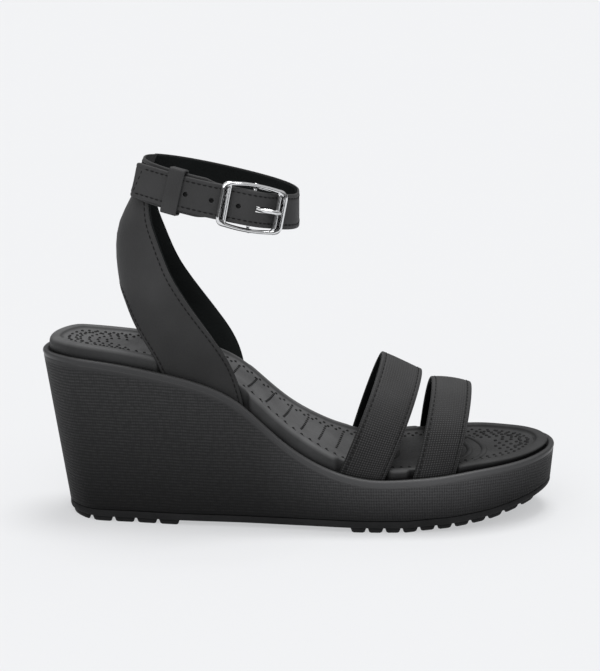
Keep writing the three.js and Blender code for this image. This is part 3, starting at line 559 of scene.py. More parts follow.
# Rows across a piece: distance from its nearest edge in mm, and depth below its face there. The
# edge is turned and stitched down, so it has a round lip and a shallow groove along the seam.
EDGE_ROWS = [(0, 0.62), (0.08, 0.3), (0.25, 0.1), (0.5, 0), (1.1, -0.03), (1.6, 0.02), (1.9, 0.14),
             (2.05, 0.26), (2.25, 0.26), (2.45, 0.14), (2.8, 0.05), (3.6, 0)]
LINING_ROWS = [(0, 0.25), (0.15, 0.05), (0.5, 0), (2, 0)]


def row_shares(rows, width, middle=5):
    """Shares across a piece of the given width for the edge rows, and their depths."""
    near = [distance / width for distance, _ in rows]
    share = near + list(np.linspace(near[-1], 1 - near[-1], middle + 2)[1:-1]) + [1 - s for s in near[::-1]]
    depth = [d for _, d in rows]
    return np.array(share), np.array(depth + [0] * middle + depth[::-1])


def strap_pieces(name, strap, width):
    share, depth = row_shares(EDGE_ROWS, width)
    outer = sheet(f"{name}_upper", strap_face(strap, share), -depth, np.full(len(share), -LEATHER), -1)
    share, depth = row_shares(LINING_ROWS, width)
    lining = sheet(f"{name}_inside", strap_face(strap, share),
                   np.full(len(share), -LEATHER - GAP / 2), depth - STACK, -1)
    return outer, lining


# ------------------------------------------------------------------ heel quarter
ANKLE_X, ANKLE_FRONT = 84.0, 38.4
back_curve = flowing([
    (30, 38.3), (36.5, 37.4), (51.5, 36.7), (63.5, 39.3), (70.5, 42.8), (80.5, 47.3), (94.5, 52.5),
])
half_curve = profile([(-21.5, 33.5), (28.5, 32), (58.5, 30.5), (94.5, 28.5)])


def back_x(z):
    return back_curve(z - HEEL_HEIGHT)


def ankle_point(angle, z, side):
    """Outer face round the ankle: the angle is 0 at the back and 180 degrees in front."""
    rear = angle <= math.pi / 2
    closing = smooth(z - HEEL_HEIGHT, 33.5, 58.5)
    back = ANKLE_X - back_x(z)
    reach = np.where(rear, back, mix(back, ANKLE_FRONT, closing))
    round_off = np.clip(np.sin(angle), 0, 1) ** np.where(rear, 2 / 2.6, 2 / 3)
    y = side * half_curve(z - HEEL_HEIGHT) * np.where(rear, round_off, mix(1, round_off, closing))
    return np.stack(np.broadcast_arrays(ANKLE_X - reach * np.cos(angle), y, z), -1)


def edge_curve(foot, points):
    corners = [(0, foot, float(rim_z(foot)))] + [(t, x, HEEL_HEIGHT + rise) for t, x, rise in points]
    turns = []
    for t, x, z in corners:
        share = (ANKLE_X - x) / (ANKLE_X - float(back_x(z)))
        turns.append((t, 0.0 if t == 1 else math.acos(min(max(share, -1), 1))))
    beyond = [(2 - t, -turn) for t, turn in turns[-2::-1]]
    level = [(2 - t, z) for t, _, z in corners[-2::-1]]
    return flowing(turns + beyond), flowing([(t, z) for t, _, z in corners] + level)


LOWER_EDGE = edge_curve(59, [(.2, 54.5, 2.5), (.45, 45, 17), (.75, 39.8, 27.5), (1, 38.3, 30)])
UPPER_EDGE = edge_curve(98, [(.2, 91.5, -1.5), (.4, 75, 22.5), (.58, 63.5, 40.5), (.72, 57, 56.5),
                             (.86, 53, 72.5), (.95, 51, 84.5), (1, 50, 87.5)])


def quarter_point(t, across, side):
    foot = spread(QUARTER_FOOT, across)
    angle = mix(LOWER_EDGE[0](t), UPPER_EDGE[0](t), across)
    sag = rim_z(foot) - spread(rim_z(np.array(QUARTER_FOOT)), across)
    z = mix(LOWER_EDGE[1](t), UPPER_EDGE[1](t), across) + sag * (1 - smooth(t, 0, 0.35))
    point = ankle_point(angle, z, side)
    rim = rim_z(point[..., 0])
    slot = side_point(point[..., 0], side, LASTED, rim)[..., 1]
    point[..., 1] = mix(slot, point[..., 1], smooth(z - rim, 0, 28))
    return point


def quarter_face(rows, steps=60, middle=8):
    """Outer face of the quarter and the depth of each row; rows keep their distance from an edge."""
    t = np.arange(1, steps + 1) / steps
    width = np.linalg.norm(quarter_point(t, 1.0, -1) - quarter_point(t, 0.0, -1), axis=1)
    shares, depths = zip(*[row_shares(rows, w, middle) for w in width])
    shares = np.array(shares).T
    foot_share, _ = row_shares(rows, 39.0, middle)
    legs = []
    for side in (-1, 1):
        end = lasted_end(spread(QUARTER_FOOT, foot_share), side)
        legs.append(np.concatenate([end, quarter_point(t[None], shares, side)], 1))
    return np.concatenate([legs[0], legs[1][:, -2::-1]], 1), depths[0]


def quarter_pieces():
    face, depth = quarter_face(EDGE_ROWS)
    outer = sheet("quarter_upper", face, -depth, np.full(len(depth), -LEATHER), -1)
    face, depth = quarter_face(LINING_ROWS)
    inner = depth - STACK
    inner[3:-3] -= 0.8              # thicker away from the edges, to cover the padding
    lining = sheet("quarter_inside", face, np.full(len(depth), -LEATHER - GAP / 2), inner, -1)
    return outer, lining


# ------------------------------------------------------------------ ankle strap and buckle strap
CUFF_TOP = HEEL_HEIGHT + 89.5
STRAP_WIDTH = 16.6
UNDER_STRAP_WIDTH = 19.0
STRAP_FREE = 57.0
CUFF_MIDDLE = STRAP_WIDTH / 2
BUCKLE_X = 101.5
BAR = 0.8                          # radius of the buckle's centre bar


def cuff_point(turn, drop):
    """The ankle's outer face: turn 0 to pi on the lateral side from the back, then medial."""
    turn = np.mod(turn, 2 * math.pi)
    side = np.where(turn <= math.pi, -1.0, 1.0)
    angle = np.where(turn <= math.pi, turn, 2 * math.pi - turn)
    point = ankle_point(angle, CUFF_TOP + 0 * angle, side)
    for _ in range(6):
        point = ankle_point(angle, CUFF_TOP - 0.221 * (point[..., 0] - 61) - drop, side)
    return point


CUFF_TURNS = np.linspace(0, 2 * math.pi, 721)
CUFF_LINE = cuff_point(CUFF_TURNS, CUFF_MIDDLE)
CUFF_ALONG = running_length(CUFF_LINE)
CUFF_BAR = int(np.argmax((CUFF_TURNS > math.pi / 2) & (CUFF_LINE[:, 0] >= BUCKLE_X)))
CUFF_ALONG -= CUFF_ALONG[CUFF_BAR]
CUFF_ROUND = CUFF_ALONG[-1] - CUFF_ALONG[0]


def cuff_axes(along, drop=CUFF_MIDDLE):
    """Origin on the cuff, a along it, b up across it and n outward."""
    turn = np.interp(along, CUFF_ALONG, CUFF_TURNS)
    a = unit(cuff_point(turn + 0.02, drop) - cuff_point(turn - 0.02, drop))
    across = unit(cuff_point(turn, drop - 0.5) - cuff_point(turn, drop + 0.5))
    n = unit(np.cross(a, across))
    return cuff_point(turn, drop), a, unit(np.cross(n, a)), n


def along_at(x, medial):
    rows = (CUFF_TURNS > math.pi) == medial
    return float(CUFF_ALONG[rows][np.argmin(np.abs(CUFF_LINE[rows, 0] - x))])


BUCKLE_AXES = cuff_axes(np.float64(0.0))


def strap_place(along, up, lift):
    """A place on the cuff, square across it from its middle; flat where the buckle sits."""
    along, up, lift = np.broadcast_arrays(np.asarray(along, float), up, lift)
    _, a, _, _ = cuff_axes(along)
    tilt = -a[..., 2] / np.hypot(a[..., 0], a[..., 1])
    origin, _, _, n = cuff_axes(along + up * tilt, CUFF_MIDDLE - up * np.hypot(1, tilt))
    curved = origin + n * lift[..., None]
    zero, axis_a, axis_b, axis_n = BUCKLE_AXES
    flat = zero + along[..., None] * axis_a + up[..., None] * axis_b + lift[..., None] * axis_n
    return mix(flat, curved, smooth(np.abs(along), 5, 11)[..., None])


ON_STRAP = 2 * GAP + LEATHER
BAR_LIFT = ON_STRAP + BAR
ON_FOLD = BAR_LIFT + BAR + ON_STRAP
strap_lift = profile([
    (-24, ON_STRAP), (-11, ON_STRAP), (-8.5, mix(ON_STRAP, ON_FOLD, .19)),
    (-5, mix(ON_STRAP, ON_FOLD, .72)), (-3, mix(ON_STRAP, ON_FOLD, .92)),
    (0, mix(ON_STRAP, ON_FOLD, 1.02)), (3, mix(ON_STRAP, ON_FOLD, .88)),
    (6, mix(ON_STRAP, ON_FOLD, .44)), (9, ON_STRAP), (12, 3 * GAP), (16, 2 * GAP), (60, GAP),
])
STRAP_JOIN_X = 53.0
STRAP_END = along_at(STRAP_JOIN_X, True)
STRAIGHT_FROM = -41.0


def ankle_strap_place(along, up, depth):
    along, up, depth = np.broadcast_arrays(np.asarray(along, float), up, depth)
    lift = strap_lift(along) + depth
    held = np.maximum(along, STRAIGHT_FROM)
    _, a, _, _ = cuff_axes(np.float64(STRAIGHT_FROM))
    return strap_place(held, up, lift) + np.minimum(along - STRAIGHT_FROM, 0)[..., None] * a


def strap_tip(share, half, corner=1.2):
    """How far the free end is drawn back for a share across, so that its corners are round."""
    out = np.abs(share) * half - (half - corner)
    return corner - np.sqrt(np.maximum(corner ** 2 - np.maximum(out, 0) ** 2, 0))


def laid_sheet(name, columns, rows, half, low, high, start, top_depth, bottom_depth):
    """A strap laid on the cuff; rows are signed heights across it in mm."""
    up = np.asarray(rows, float)
    back = strap_tip(up / half, half) - 0.22 * up
    share = np.linspace(0, 1, columns) ** 1.0
    along = start + back[:, None] + (STRAP_END - start - back[:, None]) * share[None]
    builder = Builder()
    uv = np.stack(np.broadcast_arrays(along, up[:, None]), -1)
    upper = ankle_strap_place(along, up[:, None], high - np.asarray(top_depth)[:, None])
    lower = ankle_strap_place(along, up[:, None], low + np.asarray(bottom_depth)[:, None])
    builder.grid(upper, uv)
    builder.grid(lower, uv, flip=True)
    for row in (0, -1):
        builder.grid(np.stack([lower[row], upper[row]]), uv[[row, row]], flip=row == -1)
    for column in (0, -1):
        ends = np.stack([lower[:, column], upper[:, column]])
        builder.grid(ends, uv[:, [column, column]].swapaxes(0, 1), flip=column == 0)
    return builder.build(name, weld=0.004)


def across_rows(rows, half, middle=5):
    """Signed heights across a strap for edge rows, and their depths."""
    share, depth = row_shares(rows, 2 * half, middle)
    return (share * 2 - 1) * half, depth


def buckle_solid(points):
    """Points given along, across and off the strap at the buckle, as points from the heel."""
    origin, a, b, n = BUCKLE_AXES
    p = np.asarray(points, float)
    return origin + p[..., :1] * a + p[..., 1:2] * b + p[..., 2:3] * n


def box_between(low, high):
    """A plain cutter in the buckle's axes."""
    corners = [(x, y, z) for x in (low[0], high[0]) for y in (low[1], high[1]) for z in (low[2], high[2])]
    faces = [(0, 1, 3, 2), (4, 6, 7, 5), (0, 4, 5, 1), (2, 3, 7, 6), (0, 2, 6, 4), (1, 5, 7, 3)]
    return new_object("cutter", buckle_solid(corners), faces, smooth_faces=False)


def hole_cutter(along, radius=1.1, sides=20):
    origin, a, b, n = cuff_axes(np.float64(along))
    turns = np.linspace(0, 2 * math.pi, sides, endpoint=False)
    ring = origin + radius * (np.cos(turns)[:, None] * a + np.sin(turns)[:, None] * b)
    verts = np.concatenate([ring - 3 * n, ring + 12 * n])
    faces = [[i, (i + 1) % sides, sides + (i + 1) % sides, sides + i] for i in range(sides)]
    faces += [list(range(sides))[::-1], list(range(sides, 2 * sides))]
    return new_object("cutter", verts, faces, smooth_faces=False)


def cut_out(obj, cutters):
    """Takes the cutters out of a closed piece and deletes them."""
    for cutter in cutters:
        modifier = obj.modifiers.new("Hole", "BOOLEAN")
        modifier.operation = "DIFFERENCE"
        modifier.solver = "EXACT"
        modifier.object = cutter
    settle(obj)
    for cutter in cutters:
        bpy.data.objects.remove(cutter)
    return obj


def settle(obj):
    """Replaces a piece's mesh with what its modifiers make of it, and removes them."""
    bpy.context.view_layer.update()
    graph = bpy.context.evaluated_depsgraph_get()
    mesh = bpy.data.meshes.new_from_object(obj.evaluated_get(graph), depsgraph=graph)
    mesh.name = obj.name
    obj.modifiers.clear()
    obj.data = mesh
    return obj


HOLES = [5.5 - 12 * i for i in (1, 2, 3)]
SLOT_HALF = 1.4


def ankle_strap():
    rows, depth = across_rows(EDGE_ROWS, STRAP_WIDTH / 2)
    obj = laid_sheet("ankle_strap_upper", 220, rows, STRAP_WIDTH / 2, LINING + GAP, LINING + GAP + LEATHER,
                     -STRAP_FREE, depth, np.zeros(len(rows)))
    cutters = [hole_cutter(along) for along in HOLES]
    cutters.append(box_between((1, -SLOT_HALF, -6), (7.8, SLOT_HALF, 14)))
    return cut_out(obj, cutters)


def ankle_lining():
    half = STRAP_WIDTH / 2 - 0.6
    rows, depth = across_rows(LINING_ROWS, half)
    obj = laid_sheet("ankle_strap_inside", 160, rows, half, 0, LINING, -STRAP_FREE + 0.6,
                     np.zeros(len(rows)), depth * 0.5)
    cutters = [hole_cutter(along) for along in HOLES]
    cutters.append(box_between((1, -SLOT_HALF, -6), (7.8, SLOT_HALF, 14)))
    return cut_out(obj, cutters)


def wrap_round(along):
    return np.where(along < CUFF_ALONG[0], along + CUFF_ROUND, along)


def buckle_strap_path():
    """(along, lift) of the strap's middle: round the heel, over the bar and back under itself."""
    lift = GAP + LEATHER / 2
    turn = BAR + GAP + LEATHER / 2
    start = along_at(STRAP_JOIN_X - 0.15, True) - CUFF_ROUND
    path = [(along, lift) for along in np.linspace(start, -1.2, 110)]
    for angle in np.linspace(0, math.pi, 13):
        path.append((turn * math.sin(angle), BAR_LIFT - turn * math.cos(angle)))
    top, laid = BAR_LIFT + turn, lift + LEATHER + GAP
    path += [(-1.3, mix(top, laid, .08)), (-2.6, mix(top, laid, .3)), (-3.7, mix(top, laid, .52)),
             (-4.8, mix(top, laid, .7)), (-5.9, mix(top, laid, .9)), (-7, laid)]
    return np.array(path)


def buckle_strap_face(share):
    """Middle face of the buckle strap for signed shares across it."""
    path = buckle_strap_path()
    narrow = np.maximum(smooth(path[:, 0], -24, -17), 1 - smooth(path[:, 0], path[0, 0], path[0, 0] + 40))
    half = mix(UNDER_STRAP_WIDTH / 2, STRAP_WIDTH / 2, narrow)
    along = wrap_round(path[:, 0])
    return strap_place(along[None], np.asarray(share)[:, None] * half[None], path[None, :, 1])


def buckle_strap():
    share, depth = row_shares(EDGE_ROWS, UNDER_STRAP_WIDTH)
    face = buckle_strap_face(share * 2 - 1)
    obj = sheet("buckle_strap_band", face, LEATHER / 2 - depth, np.full(len(share), -LEATHER / 2))
    eye = 1.9 + GAP
    return cut_out(obj, [box_between((-eye, -SLOT_HALF, -6), (BAR + ON_STRAP + GAP, SLOT_HALF, 14))])


# ------------------------------------------------------------------ buckle, prong and keeper
BUCKLE_LENGTH, BUCKLE_WIDTH, BUCKLE_THICK = 33.0, 22.0, 2.4
RAIL, REAR_BAR, FRONT_BAR, CAMBER = 2.2, 5.0, 5.6, 1.8
FRAME_LIFT = BAR_LIFT + CAMBER
BOW = 0.8


def bowed_loop(rear, front, half, corner, bow, steps=9):
    """A rounded rectangle with bowed long sides, as (along, across), anticlockwise from the rear."""
    loop = []
    middle = (rear + front) / 2

    def curve(p, q, r, count, last=False):
        for t in np.linspace(0, 1, count, endpoint=last):
            loop.append(((1 - t) ** 2 * np.array(p) + 2 * t * (1 - t) * np.array(q) + t * t * np.array(r)))

    curve((rear + corner, -half), (middle, -half - 2 * bow), (front - corner, -half), 3 * steps)
    curve((front - corner, -half), (front, -half), (front, -half + corner), steps)
    curve((front, -half + corner), (front, 0), (front, half - corner), 2 * steps)
    curve((front, half - corner), (front, half), (front - corner, half), steps)
    curve((front - corner, half), (middle, half + 2 * bow), (rear + corner, half), 3 * steps)
    curve((rear + corner, half), (rear, half), (rear, half - corner), steps)
    curve((rear, half - corner), (rear, 0), (rear, -half + corner), 2 * steps)
    curve((rear, -half + corner), (rear, -half), (rear + corner, -half), steps)
    return np.array(loop)


def tube_between(path, radius, sides=14, squash=(1.0, 1.0)):
    """A closed round bar along a path of buckle points, with flat ends drawn in a little."""
    rings = []
    for i, point in enumerate(path):
        ahead = path[min(i + 1, len(path) - 1)] - path[max(i - 1, 0)]
        ahead = ahead / np.linalg.norm(ahead)
        side = np.array([1.0, 0, 0]) if abs(ahead[0]) < 0.9 else np.array([0, 1.0, 0])
        u = unit(np.cross(ahead, side))
        v = np.cross(ahead, u)
        turns = np.linspace(0, 2 * math.pi, sides, endpoint=False)[:, None]
        r = radius[i] if hasattr(radius, "__len__") else radius
        rings.append(point + r * (squash[0] * np.cos(turns) * u + squash[1] * np.sin(turns) * v))
    return np.stack(rings)


def add_tube(builder, rings):
    builder.grid(buckle_solid(rings), close_columns=True)
    for end, flip in ((0, True), (-1, False)):
        middle = rings[end].mean(0)
        cap = np.stack([rings[end], mix(rings[end], middle, 0.5), np.broadcast_to(middle, rings[end].shape)])
        builder.grid(buckle_solid(cap), close_columns=True, flip=flip)


def buckle_frame():
    """The cast frame with rounded shoulders, its lugs and the centre bar between them."""
    half = BUCKLE_LENGTH / 2
    outer = bowed_loop(-half, half - 0.6, BUCKLE_WIDTH / 2 - 0.2, 4.6, BOW)
    inner = bowed_loop(-half + REAR_BAR, half - FRONT_BAR, BUCKLE_WIDTH / 2 - RAIL, 1.2, BOW)
    thick = BUCKLE_THICK / 2
    section = [(0, -.35), (0, .25), (.06, .62), (.16, .86), (.24, .9), (.3, .84), (.5, .8), (.7, .84),
               (.76, .9), (.84, .86), (.94, .62), (1, .25), (1, -.35), (.93, -.75), (.8, -1), (.2, -1),
               (.07, -.75)]
    on_rail = np.clip((np.abs(outer[:, 1]) - BUCKLE_WIDTH / 2 + 3.4) / 2.4, 0, 1)[:, None]
    rings = []
    for share, height in section:
        loop = mix(outer, inner, share)
        dome = 1.15 * math.sin(math.pi * share) ** 0.8 - 0.1 if height > 0 else height
        lift = FRAME_LIFT + thick * mix(height, dome, on_rail)
        rings.append(np.concatenate([loop, lift], 1))
    builder = Builder()
    builder.grid(buckle_solid(np.stack(rings)), close_rows=True, close_columns=True)
    length = BUCKLE_WIDTH - RAIL + 2 * BOW
    bar = [np.array([0, y, BAR_LIFT]) for y in np.linspace(-length / 2, length / 2, 9)]
    add_tube(builder, tube_between(bar, BAR))
    for side in (-1, 1):
        lug = [np.array([0, side * (length / 2 + 0.2), z])
               for z in np.linspace(BAR_LIFT - BAR, BAR_LIFT + CAMBER, 5)]
        add_tube(builder, tube_between(lug, 1.2, squash=(0.72, 1.2)))
    return builder.build("buckle_ring", weld=0.001)


def prong():
    """The prong: an eye round the centre bar and an arm that rests on the front bar."""
    line = [(0.6, 1.25, 0.45), (1.9, 1.5, 0.75), (3.6, 1.65, 0.9), (5.8, 2.55, 0.9), (7.9, 3.4, 0.85),
            (9.6, 3.95, 0.75), (11.3, 4.05, 0.72), (12.6, 4.0, 0.66), (13.3, 3.9, 0.5), (13.6, 3.8, 0.2)]
    builder = Builder()
    spine = [np.array([a, 0, BAR_LIFT + h]) for a, h, _ in line]
    add_tube(builder, tube_between(spine, [r for _, _, r in line], 14, (1.0, 1.35)))
    rings = []
    for turn in np.linspace(0, 2 * math.pi, 33)[:-1]:
        out = np.array([math.cos(turn), 0, math.sin(turn)])
        section = [(1.15, -.9), (1.15, .9), (1.3, 1.1), (1.7, 1.1),
                   (1.85, .9), (1.85, -.9), (1.7, -1.1), (1.3, -1.1)]
        rings.append([np.array([0, y, BAR_LIFT]) + radius * out for radius, y in section])
    builder.grid(buckle_solid(np.array(rings)), close_rows=True, close_columns=True)
    return builder.build("prong_arm", weld=0.001)


KEEPER_AT, KEEPER_WIDTH, KEEPER_PLAY = -36.0, 8.0, 0.5


def keeper():
    """The leather loop round both straps: a flat band with rounded edges."""
    origin, a, b, n = cuff_axes(np.float64(KEEPER_AT))
    low = GAP - KEEPER_PLAY
    high = ON_STRAP + LINING + GAP + LEATHER + KEEPER_PLAY
    half = UNDER_STRAP_WIDTH / 2 + KEEPER_PLAY
    middle, inner = (low + high) / 2, (high - low) / 2
    outside = bowed_loop(-inner - 1, inner + 1, half + 1, 1.5, 0, 8)
    inside = bowed_loop(-inner, inner, half, 0.5, 0, 8)
    wide = KEEPER_WIDTH / 2
    section = [(0, -wide + .5), (0, -wide + 1.5), (0, 0), (0, wide - 1.5), (0, wide - .5), (.15, wide - .15),
               (.45, wide), (1, wide - .1), (1, 0), (1, -wide + .1), (.45, -wide), (.15, -wide + .15)]
    rings = []
    for share, along in section:
        loop = mix(outside, inside, share)
        rings.append(origin + along * a + (middle + loop[:, :1]) * n + loop[:, 1:] * b)
    builder = Builder()
    builder.grid(np.stack(rings), close_rows=True, close_columns=True)
    return builder.build("keeper_band", weld=0.001)


# ------------------------------------------------------------------ finishes
class Finish:
    """A procedural material: short ways to add nodes and join them."""

    def __init__(self, name):
        self.material = bpy.data.materials.new(name)
        self.material.use_nodes = True
        self.tree = self.material.node_tree
        self.shader = self.tree.nodes["Principled BSDF"]
        self.coords = self.tree.nodes.new("ShaderNodeTexCoord")

    def node(self, kind, values=None, **settings):
        made = self.tree.nodes.new(kind)
        for key, value in settings.items():
            setattr(made, key, value)
        for key, value in (values or {}).items():
            self.set(made.inputs[key], value)
        return made

    def set(self, socket, value):
        if isinstance(value, bpy.types.NodeSocket):
            self.tree.links.new(value, socket)
        else:
            socket.default_value = value

    def math(self, operation, a, b=0.0, clamp=False):
        made = self.node("ShaderNodeMath", {0: a, 1: b}, operation=operation, use_clamp=clamp)
        return made.outputs[0]

    def blend(self, share, a, b):
        made = self.node("ShaderNodeMix", data_type="RGBA")
        self.set(made.inputs[0], share)
        self.set(made.inputs[6], a)
        self.set(made.inputs[7], b)
        return made.outputs[2]

    def spread(self, value, low, high, to_low=0.0, to_high=1.0):
        made = self.node("ShaderNodeMapRange", {0: value, 1: low, 2: high, 3: to_low, 4: to_high})
        return made.outputs[0]

    def noise(self, scale, detail=2.0, rough=0.5, vector=None):
        vector = vector or self.coords.outputs["Object"]
        made = self.node("ShaderNodeTexNoise",
                         {"Vector": vector, "Scale": scale, "Detail": detail, "Roughness": rough})
        return made.outputs[0]

    def ribs(self, value, pitch):
        """A smooth rib, 0 to 1, that comes back every pitch metres of the value."""
        turn = self.math("MULTIPLY", value, 2 * math.pi / pitch)
        return self.math("MULTIPLY_ADD", self.math("SINE", turn), 0.5)

    def bump(self, height, distance, strength=1.0, under=None):
        made = self.node("ShaderNodeBump", {"Height": height, "Distance": distance, "Strength": strength})
        if under is not None:
            self.set(made.inputs["Normal"], under)
        return made.outputs[0]

    def wire(self, **sockets):
        names = {"color": "Base Color", "rough": "Roughness", "normal": "Normal", "metal": "Metallic",
                 "specular": "Specular IOR Level", "coat": "Coat Weight", "coat_rough": "Coat Roughness",
                 "sheen": "Sheen Weight", "sheen_rough": "Sheen Roughness"}
        for key, value in sockets.items():
            self.set(self.shader.inputs[names[key]], value)
        return self.material


def shade(color, factor):
    return tuple(min(channel * factor, 1.0) for channel in color[:3]) + (1.0,)


def woven(name, color, pitch, relief, rough, specular, sheen=0.0):
    """Coated cloth with a fine woven grid that follows the strap; its dark lines are painted shade in the
    grooves of the weave, kept to the lower part and fading out upwards, so the lower part is painted darker
    than the upper.
    """
    made = Finish(name)
    surface = made.node("ShaderNodeSeparateXYZ", {0: made.coords.outputs["UV"]})
    waver = made.math("MULTIPLY", made.noise(60, 2), pitch * 0.7)
    u = made.math("ADD", surface.outputs[0], waver)
    v = made.math("ADD", surface.outputs[1], waver)
    grid = made.math("MULTIPLY", made.ribs(u, pitch), made.ribs(v, pitch))
    patch = made.spread(made.noise(45, 3), 0.35, 0.65, 0.86, 1.1)
    grain = made.noise(2200, 2)
    place = made.node("ShaderNodeSeparateXYZ", {0: made.coords.outputs["Object"]})
    # painted shade: the grid's dark lines colour the grooves of the weave almost black
    low = made.blend(made.spread(grid, 0.0, 0.6), shade(color, 0.1), shade(color, 1.02))
    # painted shade: the dark lines show only below 46 to 66 mm up, so the lower part is darker than the
    # plain upper part
    lower = made.spread(place.outputs[2], 0.046, 0.066, 0.9, 0.0)
    low = made.blend(lower, shade(color, 1.0), low)
    tinted = made.node("ShaderNodeMix", data_type="RGBA", blend_type="MULTIPLY")
    made.set(tinted.inputs[0], 1.0)
    made.set(tinted.inputs[6], low)
    made.set(tinted.inputs[7], patch)
    height = made.math("ADD", grid, made.math("MULTIPLY", grain, 0.25))
    return made.wire(color=tinted.outputs[2], rough=made.spread(grain, 0.3, 0.7, rough - 0.05, rough + 0.07),
                     normal=made.bump(height, relief), specular=specular, sheen=sheen, sheen_rough=0.6)


def coated(name, color, rough, specular):
    """Smooth coated leather with a very fine grain and faint creases, with painted shade low down and
    painted light higher up.
    """
    made = Finish(name)
    grain = made.noise(1500, 3)
    crease = made.node("ShaderNodeTexVoronoi", {"Vector": made.coords.outputs["Object"], "Scale": 900.0})
    patch = made.spread(made.noise(40, 3), 0.35, 0.65)
    height = made.math("ADD", grain, made.math("MULTIPLY", crease.outputs[0], 0.5))
    place = made.node("ShaderNodeSeparateXYZ", {0: made.coords.outputs["Object"]})
    # painted light and painted shade: a lighter copy of the colour higher up and a darker copy low down,
    # blended by height
    painted_light_copy = made.blend(patch, shade(color, 1.04), shade(color, 1.28))
    painted_shade_copy = made.blend(patch, shade(color, 0.5), shade(color, 0.66))
    return made.wire(color=made.blend(made.spread(place.outputs[2], 0.078, 0.12), painted_shade_copy, painted_light_copy),
                     rough=made.spread(grain, 0.3, 0.7, rough - 0.05, rough + 0.07),
                     normal=made.bump(height, 0.00008), specular=specular)


def moulded_wedge(name, color, rib_pitch):
    """Moulded foam with a linen texture on the wall, with painted shade in the rib grooves, near the ground
    and at the toe end, and painted light on the rib crests, high on the wall and at the forefoot; the rim
    stays smooth and carries a painted highlight.
    """
    made = Finish(name)
    place = made.node("ShaderNodeSeparateXYZ", {0: made.coords.outputs["Object"]})
    surface = made.node("ShaderNodeSeparateXYZ", {0: made.coords.outputs["UV"]})
    waver = made.math("MULTIPLY", made.noise(38, 3), rib_pitch * 1.6)
    level = made.math("ADD", place.outputs[2], waver)
    across = made.math("ADD", surface.outputs[0], waver)
    rows = made.ribs(level, rib_pitch)
    columns = made.ribs(across, rib_pitch * 0.8)
    broken = made.spread(made.noise(520, 2), 0.35, 0.62, 0.35, 1.0)
    toe = made.spread(place.outputs[0], -0.02, 0.06, 0.25, 0.8)
    weave = made.math("ADD", made.math("MULTIPLY", rows, broken), made.math("MULTIPLY", columns, toe))
    wall = made.node("ShaderNodeAttribute", attribute_name="textured").outputs["Fac"]
    height = made.math("MULTIPLY", weave, wall)
    grain = made.noise(1800, 2)
    height = made.math("ADD", height, made.math("MULTIPLY", grain, 0.15))
    # painted shade and painted light: the wall is darker near the ground and lighter towards the rim, by its
    # share of height up the wall
    rise = made.node("ShaderNodeAttribute", attribute_name="rise").outputs["Fac"]
    depth = made.spread(rise, 0.0, 0.9, 0.3, 1.55)
    # painted light: the forefoot's wall is made lighter
    depth = made.math("MULTIPLY", depth, made.spread(place.outputs[0], -0.02, 0.06, 1.0, 1.7))
    # painted shade: the toe end is made darker
    depth = made.math("MULTIPLY", depth, made.spread(place.outputs[0], 0.08, 0.118, 1.0, 0.55))
    # painted shade in the rib grooves and painted light on their crests, from the height of the ribs
    low = made.blend(made.spread(height, 0.1, 1.2), shade(color, 0.62), shade(color, 1.34))
    # painted highlight: the smooth rim is lighter than the wall
    low = made.blend(wall, shade(color, 1.45), low)
    tinted = made.node("ShaderNodeMix", data_type="RGBA", blend_type="MULTIPLY")
    made.set(tinted.inputs[0], 1.0)
    made.set(tinted.inputs[6], low)
    made.set(tinted.inputs[7], depth)
    return made.wire(color=tinted.outputs[2], rough=made.spread(wall, 0.0, 1.0, 0.32, 0.6),
                     normal=made.bump(height, 0.00022), specular=0.12)


def moulded_foam(name, color, rough, dark=0.78, light=1.16, pores=900, relief=0.00012):
    """Closed-cell foam or rubber: a little mottled, with fine pores."""
    made = Finish(name)
    patch = made.spread(made.noise(70, 3), 0.35, 0.65)
    grain = made.noise(pores, 3)
    return made.wire(color=made.blend(patch, shade(color, dark), shade(color, light)),
                     rough=made.spread(grain, 0.3, 0.7, rough - 0.06, rough + 0.08),
                     normal=made.bump(grain, relief), specular=0.2)


def footbed_foam(name, color):
    """Footbed foam with painted light at the heel and waist and painted shade at the toe and on its side
    faces.
    """
    made = Finish(name)
    place = made.node("ShaderNodeSeparateXYZ", {0: made.coords.outputs["Object"]})
    facing = made.node("ShaderNodeNewGeometry")
    facing = made.node("ShaderNodeSeparateXYZ", {0: facing.outputs["Normal"]})
    patch = made.spread(made.noise(70, 3), 0.35, 0.65, 0.86, 1.14)
    grain = made.noise(900, 3)
    # painted light and painted shade: lighter at the heel and waist, darker towards the toe
    along = made.blend(made.spread(place.outputs[0], 0.005, 0.06), shade(color, 1.22), shade(color, 0.5))
    tinted = made.node("ShaderNodeMix", data_type="RGBA", blend_type="MULTIPLY")
    made.set(tinted.inputs[0], 1.0)
    made.set(tinted.inputs[6], along)
    # painted shade: faces that turn away from straight up are made darker
    side = made.spread(facing.outputs[2], 0.3, 0.75, 0.42, 1.0)
    made.set(tinted.inputs[7], made.math("MULTIPLY", patch, side))
    return made.wire(color=tinted.outputs[2], rough=made.spread(grain, 0.3, 0.7, 0.5, 0.64),
                     normal=made.bump(grain, 0.00012), specular=0.13)


def cast_metal(name, color, rough):
    """Plated metal with faint handling marks."""
    made = Finish(name)
    marks = made.noise(700, 4, 0.6)
    return made.wire(color=made.blend(made.spread(marks, 0.3, 0.7), shade(color, 0.93), shade(color, 1.04)),
                     rough=made.spread(marks, 0.3, 0.75, rough, rough + 0.08), metal=1.0,
                     normal=made.bump(made.noise(160, 2), 0.00006))


